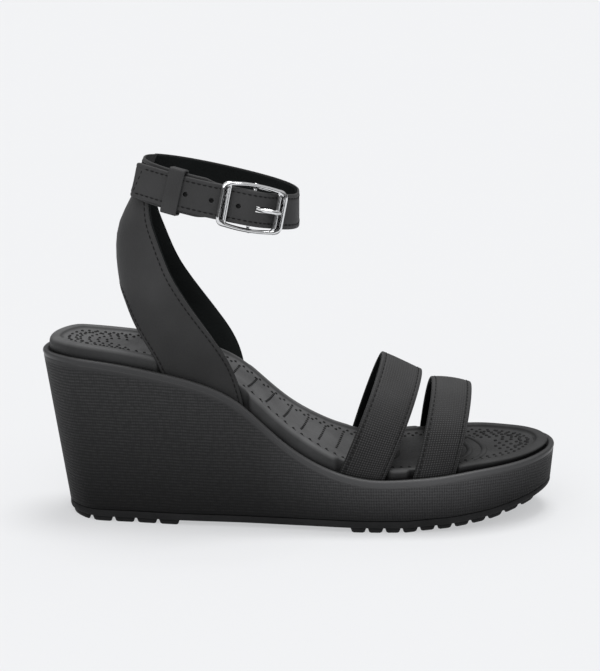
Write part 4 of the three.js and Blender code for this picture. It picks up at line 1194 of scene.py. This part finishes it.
# ------------------------------------------------------------------ repeated shapes
def node_tree(name, *sizes):
    """A geometry tree with named number inputs; gives the tree, its group input and output."""
    tree = bpy.data.node_groups.new(name, "GeometryNodeTree")
    tree.interface.new_socket("Geometry", in_out="INPUT", socket_type="NodeSocketGeometry")
    for label, value in sizes:
        socket = tree.interface.new_socket(label, in_out="INPUT", socket_type="NodeSocketFloat")
        socket.default_value = value
    tree.interface.new_socket("Material", in_out="INPUT", socket_type="NodeSocketMaterial")
    tree.interface.new_socket("Geometry", in_out="OUTPUT", socket_type="NodeSocketGeometry")
    return tree, tree.nodes.new("NodeGroupInput"), tree.nodes.new("NodeGroupOutput")


def end_tree(tree, start, end, instances):
    """Every tree ends by making its copies real and giving them their material."""
    real = tree.nodes.new("GeometryNodeRealizeInstances")
    paint = tree.nodes.new("GeometryNodeSetMaterial")
    tree.links.new(instances.outputs["Instances"], real.inputs["Geometry"])
    tree.links.new(real.outputs["Geometry"], paint.inputs["Geometry"])
    tree.links.new(start.outputs["Material"], paint.inputs["Material"])
    tree.links.new(paint.outputs["Geometry"], end.inputs["Geometry"])


def stitch_tree():
    """Lays one stitch of thread every pitch along the lines of the mesh."""
    tree, start, end = node_tree(
        "Stitches", ("Pitch", 0.0026), ("Stitch length", 0.0019), ("Thread radius", 0.00026))
    link = tree.links.new
    line = tree.nodes.new("GeometryNodeMeshToCurve")
    points = tree.nodes.new("GeometryNodeCurveToPoints")
    points.mode = "LENGTH"
    thread = tree.nodes.new("GeometryNodeMeshUVSphere")
    thread.inputs["Segments"].default_value = 6
    thread.inputs["Rings"].default_value = 5
    thread.inputs["Radius"].default_value = 1.0
    half = tree.nodes.new("ShaderNodeMath")
    half.operation = "MULTIPLY"
    half.inputs[1].default_value = 0.5
    size = tree.nodes.new("ShaderNodeCombineXYZ")
    copies = tree.nodes.new("GeometryNodeInstanceOnPoints")
    link(start.outputs["Geometry"], line.inputs["Mesh"])
    link(line.outputs["Curve"], points.inputs["Curve"])
    link(start.outputs["Pitch"], points.inputs["Length"])
    link(points.outputs["Points"], copies.inputs["Points"])
    link(points.outputs["Rotation"], copies.inputs["Rotation"])
    link(thread.outputs["Mesh"], copies.inputs["Instance"])
    link(start.outputs["Stitch length"], half.inputs[0])
    link(start.outputs["Thread radius"], size.inputs["X"])
    link(start.outputs["Thread radius"], size.inputs["Y"])
    link(half.outputs[0], size.inputs["Z"])
    link(size.outputs[0], copies.inputs["Scale"])
    end_tree(tree, start, end, copies)
    return tree


def nub_tree():
    """Sets a low dome on every point, turned to the surface and as wide as the point says."""
    tree, start, end = node_tree("Nubs", ("Size", 1.0), ("Height share", 0.9))
    link = tree.links.new
    dome = tree.nodes.new("GeometryNodeMeshUVSphere")
    dome.inputs["Segments"].default_value = 8
    dome.inputs["Rings"].default_value = 5
    dome.inputs["Radius"].default_value = 1.0
    lean = tree.nodes.new("GeometryNodeInputNamedAttribute")
    lean.data_type = "FLOAT_VECTOR"
    lean.inputs["Name"].default_value = "lean"
    radius = tree.nodes.new("GeometryNodeInputNamedAttribute")
    radius.data_type = "FLOAT"
    radius.inputs["Name"].default_value = "radius"
    turn = tree.nodes.new("FunctionNodeAlignRotationToVector")
    turn.axis = "Z"
    wide = tree.nodes.new("ShaderNodeMath")
    wide.operation = "MULTIPLY"
    high = tree.nodes.new("ShaderNodeMath")
    high.operation = "MULTIPLY"
    size = tree.nodes.new("ShaderNodeCombineXYZ")
    copies = tree.nodes.new("GeometryNodeInstanceOnPoints")
    link(start.outputs["Geometry"], copies.inputs["Points"])
    link(dome.outputs["Mesh"], copies.inputs["Instance"])
    link(lean.outputs["Attribute"], turn.inputs["Vector"])
    link(turn.outputs["Rotation"], copies.inputs["Rotation"])
    link(radius.outputs["Attribute"], wide.inputs[0])
    link(start.outputs["Size"], wide.inputs[1])
    link(wide.outputs[0], high.inputs[0])
    link(start.outputs["Height share"], high.inputs[1])
    link(wide.outputs[0], size.inputs["X"])
    link(wide.outputs[0], size.inputs["Y"])
    link(high.outputs[0], size.inputs["Z"])
    link(size.outputs[0], copies.inputs["Scale"])
    end_tree(tree, start, end, copies)
    return tree


def grow(obj, tree, **values):
    """Runs a geometry tree on an object with its inputs set, and keeps the plain mesh it makes."""
    modifier = obj.modifiers.new(tree.name, "NODES")
    modifier.node_group = tree
    wanted = {key.replace("_", " ").lower(): value for key, value in values.items()}
    for item in tree.interface.items_tree:
        if item.in_out == "INPUT" and item.name.lower() in wanted:
            modifier[item.identifier] = wanted[item.name.lower()]
    return settle(obj)


def line_object(name, lines):
    """A mesh of open lines, for a tree to follow; each line is an array of points in mm."""
    verts, edges = [], []
    for line in lines:
        base = len(verts)
        verts.extend(to_frame(line).tolist())
        edges.extend((base + i, base + i + 1) for i in range(len(line) - 1))
    mesh = bpy.data.meshes.new(name)
    mesh.from_pydata(verts, edges, [])
    obj = bpy.data.objects.new(name, mesh)
    bpy.context.scene.collection.objects.link(obj)
    return obj


def point_object(name, points, leans, radii):
    mesh = bpy.data.meshes.new(name)
    mesh.from_pydata(to_frame(points).tolist(), [], [])
    lean = mesh.attributes.new("lean", "FLOAT_VECTOR", "POINT")
    lean.data.foreach_set("vector", np.asarray(leans, float).ravel())
    radius = mesh.attributes.new("radius", "FLOAT", "POINT")
    radius.data.foreach_set("value", np.asarray(radii, float) * MM)
    obj = bpy.data.objects.new(name, mesh)
    bpy.context.scene.collection.objects.link(obj)
    return obj


# ------------------------------------------------------------------ lines and nubs to repeat on
def seam_lines(inset=2.15, depth=0.08):
    """Seams along both edges of every strap, just inside the groove that they lie in."""
    lines = []

    def along_face(face, keep, outward):
        normals = outward * surface_normals(face)
        return [(face[row] - normals[row] * depth)[keep] for row in (1, -2)]

    for strap, width in ((TOE, 20.2), (INSTEP, 21.6)):
        share = [0, inset / width, 0.5, 1 - inset / width, 1]
        lines += along_face(strap_face(strap, share), slice(8, -8), -1)
    rows = [(0, 0), (inset, 0)]
    face, _ = quarter_face(rows, middle=3)
    lines += along_face(face, slice(8, -8), -1)
    half = STRAP_WIDTH / 2
    along = np.linspace(-STRAP_FREE + 4.5, STRAP_END - 1, 150)
    top = LINING + GAP + LEATHER - depth
    for side in (-1, 1):
        lines.append(ankle_strap_place(along, side * (half - inset), top))
    reach = np.linspace(-half + 4, half - 4, 9)
    lines.append(ankle_strap_place(np.full(9, -STRAP_FREE + inset), reach, top))
    share = 1 - 2 * inset / UNDER_STRAP_WIDTH
    path = buckle_strap_path()
    for side in (-1, 1):
        face = buckle_strap_face(np.array([share * side - 0.05, share * side, share * side + 0.05]))
        normals = surface_normals(face)
        line = face[1] + normals[1] * (LEATHER / 2 - depth)
        lines.append(line[2:np.argmax(path[:, 0] > -12)])
    return lines


def flat_top(x, y):
    """Height of the footbed's dished top, and its lean, for points on it."""
    ring = footbed_ring(FLAT_TOP, lambda at: footbed_z(at) - 0.6 * DISH)

    def height(at):
        near, far = edge_at(ring, at, -1), edge_at(ring, at, 1)
        share = np.clip((y - near) / np.maximum(far - near, 1), 0, 1)
        edge = mix(edge_at(ring, at, -1, 2), edge_at(ring, at, 1, 2), share)
        return edge + footbed_dish(at, share)

    z = height(x)
    slope = (height(x + 0.5) - height(x - 0.5)) / 1.0
    lean = unit(np.stack([-slope, np.zeros_like(x), np.ones_like(x)], -1))
    return np.stack([x, y, z], -1), lean


def evenly(line, pitch, offset=0.0):
    """Points every pitch along a line in plan."""
    length = running_length(line)
    at = np.arange(offset, length[-1], pitch)
    return np.stack([np.interp(at, length, line[:, i]) for i in range(2)], -1)


def arc(x, y, radius, start, end):
    turns = np.radians(np.linspace(start, end, 60))
    return np.stack([x + radius * np.cos(turns), y + radius * np.sin(turns)], -1)


def nub_points(pitch):
    """Places and radii of the nubs: rows along the edge, arcs at heel and toe, bars in the waist."""
    spots, radii = [], []

    def add(points, radius):
        spots.append(points)
        radii.append(np.full(len(points), radius))

    for row, (inset, radius) in enumerate(((2.8, 0.8), (6.2, 0.8))):
        ring = footbed_ring(FLAT_TOP + inset, footbed_z)[:, :2]
        add(evenly(np.concatenate([ring, ring[:1]]), pitch, row * pitch / 2), radius)
    for row, radius in enumerate((7, 11.2, 15.4, 19.6)):
        add(evenly(arc(38, 0, radius, 70, 290), pitch, row % 2 * pitch / 2), 0.75)
    for row, radius in enumerate((4, 8, 12, 16)):
        add(evenly(arc(222, 12 - row, radius, -95, 170), pitch, row % 2 * pitch / 2), 0.9)
    for x in np.arange(66, 150, 8.5):
        add(evenly(np.array([[x, -15.0], [x + 4, 17.0]]), 3.6), 0.7)
    plan, radii = np.concatenate(spots), np.concatenate(radii)
    ring = footbed_ring(FLAT_TOP + 2.4, footbed_z)
    inside = (plan[:, 1] > edge_at(ring, plan[:, 0], -1)) & (plan[:, 1] < edge_at(ring, plan[:, 0], 1))
    inside &= (plan[:, 0] > 12) & (plan[:, 0] < SOLE_LENGTH - 11)
    return plan[inside], radii[inside]


def crescent_ridges():
    """Low curved ridges across the ball and behind the toes."""
    builder = Builder()
    for x, y, radius, reach in ((176, -4, 25, 62), (176, -4, 32, 58), (176, -4, 39, 50), (146, -2, 20, 58),
                                (146, -2, 26.5, 54)):
        plan = arc(x, y, radius, -reach, reach)
        spine, lean = flat_top(plan[:, 0], plan[:, 1])
        ahead = unit(np.gradient(spine, axis=0))
        side = unit(np.cross(ahead, lean))
        taper = np.sin(np.linspace(0.12, math.pi - 0.12, len(plan))) ** 0.5
        rings = []
        for out, up in ((-1.7, -.5), (-1.45, .2), (-.9, .62), (0, .7), (.9, .62), (1.45, .2), (1.7, -.5)):
            rings.append(spine + side * (out * taper)[:, None] + lean * (up * taper)[:, None])
        grid = np.stack(rings)
        builder.grid(grid, close_rows=True)
        for column, flip in ((0, False), (-1, True)):
            middle = grid[:, column].mean(0)
            cap = np.stack([grid[:, column], np.broadcast_to(middle, grid[:, column].shape)])
            builder.grid(cap, close_columns=True, flip=flip)
    return builder.build("footbed_ridges", weld=0.001)


# ------------------------------------------------------------------ what a user would change
class SandalSizes(bpy.types.PropertyGroup):
    """Sizes of the sandal's surface details."""
    weave_pitch: bpy.props.FloatProperty(
        name="Weave", description="Pitch of the woven grid on the straps", default=0.00115, unit="LENGTH",
        precision=5)
    rib_pitch: bpy.props.FloatProperty(
        name="Wall ribs", description="Pitch of the moulded ribs on the wedge wall", default=0.0015,
        unit="LENGTH", precision=5)
    stitch_pitch: bpy.props.FloatProperty(
        name="Stitch pitch", description="Distance from one stitch to the next", default=0.0027,
        unit="LENGTH", precision=5)
    stitch_length: bpy.props.FloatProperty(
        name="Stitch length", description="Length of thread that shows in one stitch", default=0.0019,
        unit="LENGTH", precision=5)
    thread_radius: bpy.props.FloatProperty(
        name="Thread radius", description="Radius of the sewing thread", default=0.00026, unit="LENGTH",
        precision=5)
    nub_pitch: bpy.props.FloatProperty(
        name="Nub pitch", description="Distance from one footbed nub to the next", default=0.0040,
        unit="LENGTH", precision=5)


class SandalColours(bpy.types.PropertyGroup):
    """Colours of the sandal's finishes."""
    strap: bpy.props.FloatVectorProperty(
        name="Straps", description="Coated cloth of the straps and the quarter", subtype="COLOR", size=4,
        min=0, max=1, default=(0.04, 0.04, 0.0405, 1))
    wedge: bpy.props.FloatVectorProperty(
        name="Wedge", description="Moulded wall of the wedge", subtype="COLOR", size=4, min=0, max=1,
        default=(0.0235, 0.0235, 0.024, 1))
    footbed: bpy.props.FloatVectorProperty(
        name="Footbed", description="Foam of the footbed", subtype="COLOR", size=4, min=0, max=1,
        default=(0.084, 0.0845, 0.0855, 1))
    lining: bpy.props.FloatVectorProperty(
        name="Lining", description="Cloth inside the straps", subtype="COLOR", size=4, min=0, max=1,
        default=(0.014, 0.0155, 0.0155, 1))
    rubber: bpy.props.FloatVectorProperty(
        name="Outsole", description="Rubber of the outsole", subtype="COLOR", size=4, min=0, max=1,
        default=(0.011, 0.011, 0.0115, 1))
    thread: bpy.props.FloatVectorProperty(
        name="Thread", description="Sewing thread", subtype="COLOR", size=4, min=0, max=1,
        default=(0.006, 0.006, 0.006, 1))
    metal: bpy.props.FloatVectorProperty(
        name="Buckle", description="Plated metal of the buckle", subtype="COLOR", size=4, min=0, max=1,
        default=(0.78, 0.785, 0.79, 1))
    floor: bpy.props.FloatVectorProperty(
        name="Floor", description="Plain studio floor", subtype="COLOR", size=4, min=0, max=1,
        default=(0.32, 0.323, 0.328, 1))


def sizes():
    return bpy.context.scene.sandal_sizes


def colours():
    return bpy.context.scene.sandal_colours


def strap_cloth():
    found = bpy.data.materials.get("woven_strap")
    return found or woven("woven_strap", colours().strap, sizes().weave_pitch, 0.00016, 0.6, 0.2, 0.03)


def strap_leather():
    found = bpy.data.materials.get("coated_leather")
    return found or coated("coated_leather", colours().strap, 0.6, 0.22)


def lining_cloth():
    found = bpy.data.materials.get("woven_lining")
    return found or woven("woven_lining", colours().lining, 0.0007, 0.0001, 0.9, 0.03)


def plated_metal():
    found = bpy.data.materials.get("plated_metal")
    return found or cast_metal("plated_metal", colours().metal, 0.07)


# ------------------------------------------------------------------ operators
class SANDAL_OT_wedge(bpy.types.Operator):
    """Make the moulded wall of the wedge with its rounded rim"""
    bl_idname = "sandal.wedge"
    bl_label = "Wedge Wall"

    def execute(self, context):
        obj = wedge_wall()
        heights = np.array([v.co[:] for v in obj.data.vertices]) / MM
        depth = rim_z(heights[:, 0] - HEEL_X) - heights[:, 2]
        # textured is 0 on the smooth rim, where the wedge finish paints its highlight
        textured = smooth(depth, 3.0, 4.2)
        layer = obj.data.attributes.new("textured", "FLOAT", "POINT")
        layer.data.foreach_set("value", textured)
        # rise is the share up the wall, which the wedge finish uses to paint shade low down and light high
        # up
        bottom = parting_z(heights[:, 0] - HEEL_X)
        layer = obj.data.attributes.new("rise", "FLOAT", "POINT")
        layer.data.foreach_set("value", 1 - depth / np.maximum(depth + heights[:, 2] - bottom, 1))
        finish_piece(obj, "sandal", "moulded_wedge",
                     moulded_wedge("wedge_foam", colours().wedge, sizes().rib_pitch), "wedge_shell")
        return {"FINISHED"}


class SANDAL_OT_footbed(bpy.types.Operator):
    """Make the footbed with its border, nubs and ridges"""
    bl_idname = "sandal.footbed"
    bl_label = "Footbed"

    def execute(self, context):
        foam = footbed_foam("footbed_surface", colours().footbed)
        finish_piece(footbed(), "sandal", "footbed_foam", foam, "footbed")
        # painted shade: the ridges, moulded in the footbed foam, are coloured much darker than it
        ridge = moulded_foam("footbed_ridge", shade(colours().footbed, 0.42), 0.6)
        finish_piece(crescent_ridges(), "sandal", "footbed_foam", ridge)
        plan, radii = nub_points(sizes().nub_pitch / MM)
        points, leans = flat_top(plan[:, 0], plan[:, 1])
        nubs = point_object("footbed_nubs", points, leans, radii)
        # painted shade: the nubs are coloured far darker than the footbed foam they are moulded in
        dark = moulded_foam("footbed_nub", shade(colours().footbed, 0.28), 0.7)
        nubs = grow(nubs, nub_tree(), size=1.0, height_share=0.9, material=dark)
        finish_piece(nubs, "sandal", "footbed_foam", None)
        return {"FINISHED"}


class SANDAL_OT_outsole(bpy.types.Operator):
    """Make the rubber outsole with its lugs"""
    bl_idname = "sandal.outsole"
    bl_label = "Outsole"

    def execute(self, context):
        rubber = moulded_foam("tread_rubber", colours().rubber, 0.7, 0.7, 1.25, 1200, 0.0001)
        finish_piece(outsole(), "sandal", "outsole_rubber", rubber, "outsole")
        return {"FINISHED"}


class SANDAL_OT_foot_straps(bpy.types.Operator):
    """Make the toe strap and the instep strap with their linings"""
    bl_idname = "sandal.foot_straps"
    bl_label = "Foot Straps"

    def execute(self, context):
        for name, strap, width in (("toe_strap", TOE, 20.2), ("instep_strap", INSTEP, 21.6)):
            outer, lining = strap_pieces(name, strap, width)
            finish_piece(outer, "sandal", "strap_leather", strap_cloth(), f"{name}_outer")
            finish_piece(lining, "sandal", "lining_cloth", lining_cloth(), f"{name}_lining")
        return {"FINISHED"}


class SANDAL_OT_quarter(bpy.types.Operator):
    """Make the heel quarter and its lining"""
    bl_idname = "sandal.quarter"
    bl_label = "Heel Quarter"

    def execute(self, context):
        outer, lining = quarter_pieces()
        finish_piece(outer, "sandal", "strap_leather", strap_leather(), "quarter_outer")
        finish_piece(lining, "sandal", "lining_cloth", lining_cloth(), "quarter_lining")
        return {"FINISHED"}


class SANDAL_OT_ankle_strap(bpy.types.Operator):
    """Make the holed ankle strap, its lining, the buckle strap and the keeper"""
    bl_idname = "sandal.ankle_strap"
    bl_label = "Ankle Strap"

    def execute(self, context):
        finish_piece(ankle_strap(), "sandal", "strap_leather", strap_leather(), "ankle_strap_outer")
        finish_piece(ankle_lining(), "sandal", "lining_cloth", lining_cloth(), "ankle_strap_lining")
        finish_piece(buckle_strap(), "sandal", "strap_leather", strap_leather(), "buckle_strap")
        finish_piece(keeper(), "keeper", "strap_leather", strap_leather(), "keeper_loop")
        return {"FINISHED"}


class SANDAL_OT_buckle(bpy.types.Operator):
    """Make the buckle frame and its prong"""
    bl_idname = "sandal.buckle"
    bl_label = "Buckle"

    def execute(self, context):
        finish_piece(buckle_frame(), "buckle", "buckle_metal", plated_metal(), "buckle_frame")
        finish_piece(prong(), "prong", "buckle_metal", plated_metal(), "buckle_prong")
        return {"FINISHED"}


class SANDAL_OT_stitching(bpy.types.Operator):
    """Sew the seams along the edges of all straps"""
    bl_idname = "sandal.stitching"
    bl_label = "Stitching"

    def execute(self, context):
        thread = moulded_foam("sewing_thread", colours().thread, 0.6, 0.8, 1.3, 3000, 0.00004)
        seams = line_object("strap_stitches", seam_lines())
        seams = grow(seams, stitch_tree(), pitch=sizes().stitch_pitch, stitch_length=sizes().stitch_length,
                     thread_radius=sizes().thread_radius, material=thread)
        finish_piece(seams, "sandal", "strap_leather", None)
        return {"FINISHED"}


class SANDAL_OT_inner_pieces(bpy.types.Operator):
    """Give the inner pieces of the frame their finishes"""
    bl_idname = "sandal.inner_pieces"
    bl_label = "Inner Pieces"

    def execute(self, context):
        foam = moulded_foam("core_foam", (0.27, 0.26, 0.24, 1), 0.85)
        board = moulded_foam("pressed_board", (0.19, 0.14, 0.085, 1), 0.85, 0.7, 1.2, 500, 0.0002)
        steel = cast_metal("spring_steel", (0.28, 0.285, 0.29, 1), 0.3)
        finishes = {
            "wedge_core": foam, "toe_strap_padding": foam, "instep_strap_padding": foam,
            "quarter_padding": foam, "insole_board": board, "steel_shank": steel,
            "shank_rivet_rear": steel, "shank_rivet_front": steel,
        }
        for name, finish in finishes.items():
            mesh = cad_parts[name].data
            if len(mesh.materials) == 0:
                mesh.materials.append(finish)
            for i in range(len(mesh.materials)):
                mesh.materials[i] = finish
        return {"FINISHED"}


CAMERA_DISTANCE, CAMERA_RISE, CAMERA_LENS, CAMERA_SHIFT = 1.1, 12.5, 121.57, -0.0117
CAMERA_TARGET = Vector((-0.00005, 0.00225, 0.090))
BUCKLE_MIDDLE = Vector((-0.023, -0.028, 0.154))
BUCKLE_FACING = Vector((0.51, -0.85, -0.1))
CARD_DISTANCE, CARD_HALF_WIDTH, CARD_HALF_HEIGHT = 0.5, 0.12, 0.04
FLOOR_REACH = 30.0
FLOOR_GLOW, FLOOR_GLOW_COLOR = 0.495, (0.982, 0.99, 1.005, 1)
# Name, power, angle across in degrees, and turn in degrees.
SUNS = (("key_light", 1.75, 26, (-10, 6, 0)), ("fill_light", 0.95, 50, (50, 0, -14)))
# Brightness of the room from straight down (0) over level (0.5) to straight up (1).
ROOM_STOPS = ((0.0, 0.5), (0.5, 0.3), (0.54, 0.12), (0.64, 0.2), (0.76, 0.9), (1.0, 1.1))
ROOM_STRENGTH = 0.6
CARD_CORNERS = ((-1, -1), (1, -1), (1, 1), (-1, 1))


def flat_card(scene, name, corners):
    """A single flat face in the scene, from its four corners."""
    mesh = bpy.data.meshes.new(name)
    mesh.from_pydata([tuple(corner) for corner in corners], [], [(0, 1, 2, 3)])
    card = bpy.data.objects.new(name, mesh)
    scene.collection.objects.link(card)
    return card


class SANDAL_OT_stage(bpy.types.Operator):
    """Set the camera, the soft light and the plain floor"""
    bl_idname = "sandal.stage"
    bl_label = "Stage"

    def make_camera(self, scene):
        rise = math.radians(CAMERA_RISE)
        camera = bpy.data.objects.new("Camera", bpy.data.cameras.new("Camera"))
        camera.data.lens = CAMERA_LENS
        camera.data.sensor_width = 36
        camera.data.clip_end = 100
        camera.data.shift_y = CAMERA_SHIFT
        camera.location = CAMERA_TARGET + CAMERA_DISTANCE * Vector((0, -math.cos(rise), math.sin(rise)))
        camera.rotation_euler = (math.pi / 2 - rise, 0, 0)
        scene.collection.objects.link(camera)
        scene.camera = camera

    def make_card(self, scene):
        """A dark card that shows only in reflections, as a studio sets for a polished buckle."""
        away = BUCKLE_FACING.normalized()
        side = away.cross(Vector((0, 0, 1))).normalized()
        up = side.cross(away)
        middle = BUCKLE_MIDDLE + CARD_DISTANCE * away
        card = flat_card(scene, "dark_card", [
            middle + a * CARD_HALF_WIDTH * side + b * CARD_HALF_HEIGHT * up for a, b in CARD_CORNERS])
        cloth = Finish("card_velvet")
        cloth.wire(color=cloth.blend(cloth.noise(40), (0.004, 0.004, 0.004, 1), (0.008, 0.008, 0.008, 1)),
                   rough=0.95, specular=0.0)
        card.data.materials.append(cloth.material)
        card.visible_camera = False
        card.visible_diffuse = False
        card.visible_shadow = False

    def make_floor(self, scene):
        """A plain paper floor with a little light of its own, so that shadows on it stay pale."""
        floor = flat_card(scene, "studio_floor", [
            (a * FLOOR_REACH, b * FLOOR_REACH, 0) for a, b in CARD_CORNERS])
        paper = Finish("floor_paper")
        tint = colours().floor
        paper.wire(color=paper.blend(paper.noise(6), shade(tint, 0.995), shade(tint, 1.005)), rough=0.9,
                   specular=0.1)
        paper.shader.inputs["Emission Color"].default_value = FLOOR_GLOW_COLOR
        paper.shader.inputs["Emission Strength"].default_value = FLOOR_GLOW
        floor.data.materials.append(paper.material)

    def make_room(self, scene):
        """A room that is dim near eye level and bright overhead."""
        world = bpy.data.worlds.new("Studio")
        scene.world = world
        world.use_nodes = True
        nodes, links = world.node_tree.nodes, world.node_tree.links
        place = nodes.new("ShaderNodeTexCoord")
        split = nodes.new("ShaderNodeSeparateXYZ")
        ramp = nodes.new("ShaderNodeValToRGB")
        ends = (ROOM_STOPS[0], ROOM_STOPS[-1])
        for element, (position, value) in zip(ramp.color_ramp.elements, ends):
            element.position = position
            element.color = (value, value, value * 1.01, 1)
        for position, value in ROOM_STOPS[1:-1]:
            ramp.color_ramp.elements.new(position).color = (value, value, value * 1.01, 1)
        half = nodes.new("ShaderNodeMapRange")
        half.inputs[1].default_value = -1.0
        links.new(place.outputs["Generated"], split.inputs[0])
        links.new(split.outputs[2], half.inputs[0])
        links.new(half.outputs[0], ramp.inputs[0])
        links.new(ramp.outputs[0], nodes["Background"].inputs[0])
        nodes["Background"].inputs[1].default_value = ROOM_STRENGTH

    def make_lights(self, scene):
        for name, power, angle, turn in SUNS:
            sun = bpy.data.lights.new(name, "SUN")
            sun.energy = power
            sun.angle = math.radians(angle)
            lamp = bpy.data.objects.new(name, sun)
            lamp.rotation_euler = [math.radians(a) for a in turn]
            scene.collection.objects.link(lamp)

    def execute(self, context):
        scene = context.scene
        scene.view_settings.view_transform = "Standard"
        scene.view_settings.look = "None"
        self.make_camera(scene)
        self.make_card(scene)
        self.make_floor(scene)
        self.make_room(scene)
        self.make_lights(scene)
        return {"FINISHED"}


STEPS = (
    SANDAL_OT_stage, SANDAL_OT_wedge, SANDAL_OT_footbed, SANDAL_OT_outsole, SANDAL_OT_foot_straps,
    SANDAL_OT_quarter, SANDAL_OT_ankle_strap, SANDAL_OT_buckle, SANDAL_OT_stitching,
    SANDAL_OT_inner_pieces,
)


class SANDAL_PT_maker(bpy.types.Panel):
    """Sizes, colours and steps of the sandal"""
    bl_idname = "SANDAL_PT_maker"
    bl_label = "Wedge Sandal"
    bl_space_type = "VIEW_3D"
    bl_region_type = "UI"
    bl_category = "Sandal"

    def draw(self, context):
        layout = self.layout
        for group in (context.scene.sandal_sizes, context.scene.sandal_colours):
            column = layout.column(align=True)
            for name in group.__annotations__:
                column.prop(group, name)
        for step in STEPS:
            layout.operator(step.bl_idname)


CLASSES = (SandalSizes, SandalColours) + STEPS + (SANDAL_PT_maker,)


def register():
    for cls in CLASSES:
        bpy.utils.register_class(cls)
    bpy.types.Scene.sandal_sizes = bpy.props.PointerProperty(type=SandalSizes)
    bpy.types.Scene.sandal_colours = bpy.props.PointerProperty(type=SandalColours)


def unregister():
    del bpy.types.Scene.sandal_colours
    del bpy.types.Scene.sandal_sizes
    for cls in reversed(CLASSES):
        bpy.utils.unregister_class(cls)


def main():
    register()
    bpy.ops.sandal.stage()
    bpy.ops.sandal.wedge()
    bpy.ops.sandal.footbed()
    bpy.ops.sandal.outsole()
    bpy.ops.sandal.foot_straps()
    bpy.ops.sandal.quarter()
    bpy.ops.sandal.ankle_strap()
    bpy.ops.sandal.buckle()
    bpy.ops.sandal.stitching()
    bpy.ops.sandal.inner_pieces()


if __name__ == "__main__":
    main()
